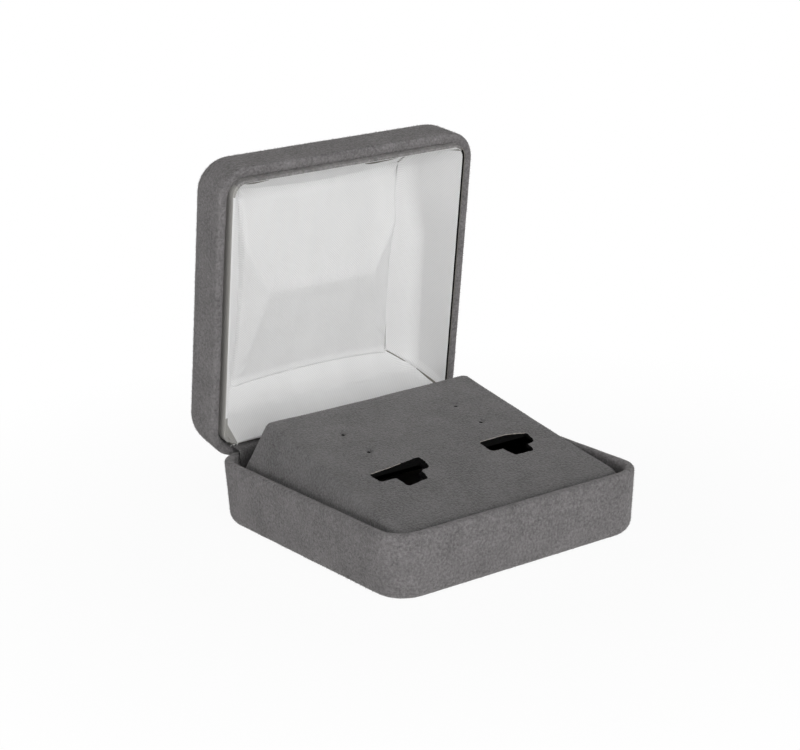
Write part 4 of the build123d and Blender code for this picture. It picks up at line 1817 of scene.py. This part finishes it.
@dataclass
class Studio:
    """White floor, soft lamps and the camera at the photograph's angle."""

    camera_place: Triple = (-280.656, -376.642, 177.09)
    right: Triple = (0.803631, -0.594499, -0.02735)
    up: Triple = (0.192447, 0.216109, 0.957215)
    forward: Triple = (0.563153, 0.774511, -0.288081)
    lens: float = 99.2136
    sensor: float = 36.0
    floor_half: float = 6.0
    floor_drop: float = 0.02
    floor_glow: float = 0.16
    near_glow: float = 0.79
    far_glow: float = 0.05
    shadow_reach: tuple[float, float] = (0.06, 0.15)
    world_light: float = 0.8
    world_top: float = 0.0
    world_right: float = 0.45
    dim_side: Triple = (0.45, 0.89, 0.0)
    lamp_size: float = 0.6
    lamp_aim: Triple = (0.0, 0.0, 0.03)
    lamps: tuple = (
        ("overhead", (-0.25, -0.7, 0.85), 1.0),
        ("front", (-0.2, -1.0, 0.32), 5.6),
        ("left", (-1.0, 0.05, 0.05), 3.4),
    )

    def _camera(self) -> None:
        """Sets the camera."""
        data = bpy.data.cameras.new("camera")
        data.sensor_fit = "HORIZONTAL"
        data.sensor_width = self.sensor
        data.lens = self.lens
        data.clip_start = 0.01
        camera = link_object("camera", data)
        columns = [Vector(self.right), Vector(self.up), -Vector(self.forward)]
        turn = Matrix([[column[i] for column in columns] for i in range(3)]).to_4x4()
        camera.matrix_world = Matrix.Translation(Vector(self.camera_place) * MM) @ turn
        bpy.context.scene.camera = camera

    def _floor(self) -> None:
        """Lays a white floor that keeps the object's shadow."""
        reach = self.floor_half / MM
        signs = ((-1, -1), (1, -1), (1, 1), (-1, 1))
        corners = np.array([[x * reach, y * reach, -self.floor_drop] for x, y in signs])
        floor = make_object("floor", corners, [(0, 1, 2, 3)])
        paint = Paint("white_floor")
        speckle = paint.blend(paint.grain(30.0, 2.0), (0.86, 0.86, 0.86), (0.88, 0.88, 0.88))
        plain = paint.node("ShaderNodeBsdfDiffuse", {}, {"Color": speckle})
        glow = paint.node("ShaderNodeEmission", {}, {"Color": WHITE, "Strength": 1.0})
        seen = paint.node("ShaderNodeLightPath", {}, {}, "Is Camera Ray")
        length = {"operation": "LENGTH"}
        distance = paint.node("ShaderNodeVectorMath", length, {0: paint.place}, "Value")
        far = paint.contrast(distance, *self.shadow_reach)
        share = self.floor_glow + seen * (self.near_glow + self.far_glow * far)
        mixed = paint.node("ShaderNodeMixShader", {}, {0: share, 1: plain, 2: glow})
        paint.node("ShaderNodeOutputMaterial", {}, {"Surface": mixed})
        floor.data.materials.append(paint.material)

    def _world(self) -> None:
        """Soft light from all round, white where the camera sees it."""
        world = bpy.data.worlds.new("studio")
        bpy.context.scene.world = world
        world.use_nodes = True
        world.node_tree.nodes.clear()
        tree = TreeBuilder(world.node_tree)
        path = tree.node("ShaderNodeLightPath", {}, {}, "Is Camera Ray")
        direction = tree.node("ShaderNodeTexCoord", {}, {}, "Generated")
        height = tree.node("ShaderNodeSeparateXYZ", {}, {0: direction}, "Z").clamped()
        product, pair = {"operation": "DOT_PRODUCT"}, {0: direction, 1: self.dim_side}
        rightwards = tree.node("ShaderNodeVectorMath", product, pair, "Value").clamped()
        level = self.world_light + (self.world_top - self.world_light) * height
        strength = level * (1.0 - self.world_right * rightwards)
        soft = tree.node("ShaderNodeBackground", {}, {"Color": WHITE, "Strength": strength})
        white = tree.node("ShaderNodeBackground", {}, {"Color": WHITE, "Strength": 1.0})
        mixed = tree.node("ShaderNodeMixShader", {}, {0: path, 1: soft, 2: white})
        tree.node("ShaderNodeOutputWorld", {}, {"Surface": mixed})

    def _lamp(self, name: str, place: tuple, power: float) -> None:
        """Sets one square soft lamp.

        Args:
            name: the lamp's name.
            place: where it stands, in metres.
            power: in watts.
        """
        data = bpy.data.lights.new(name, "AREA")
        data.shape = "SQUARE"
        data.size = self.lamp_size
        data.energy = power
        lamp = link_object(name, data)
        aim = Vector(self.lamp_aim) - Vector(place)
        lamp.location = place
        lamp.rotation_euler = aim.to_track_quat("-Z", "Y").to_euler()

    def build(self) -> None:
        """Sets the stage."""
        self._camera()
        self._floor()
        self._world()
        for lamp in self.lamps:
            self._lamp(*lamp)
        bpy.context.scene.view_settings.view_transform = "Standard"


def main() -> None:
    """Builds the box and its stage."""
    logging.basicConfig(level=logging.INFO, format="%(name)s: %(message)s")
    finishes = Finishes()
    for part in (Hardware, BoxCover, LidCover, InsertCover, LidLining, HingeStrip):
        part().build(finishes)
    Studio().build()


if __name__ == "__main__":
    main()
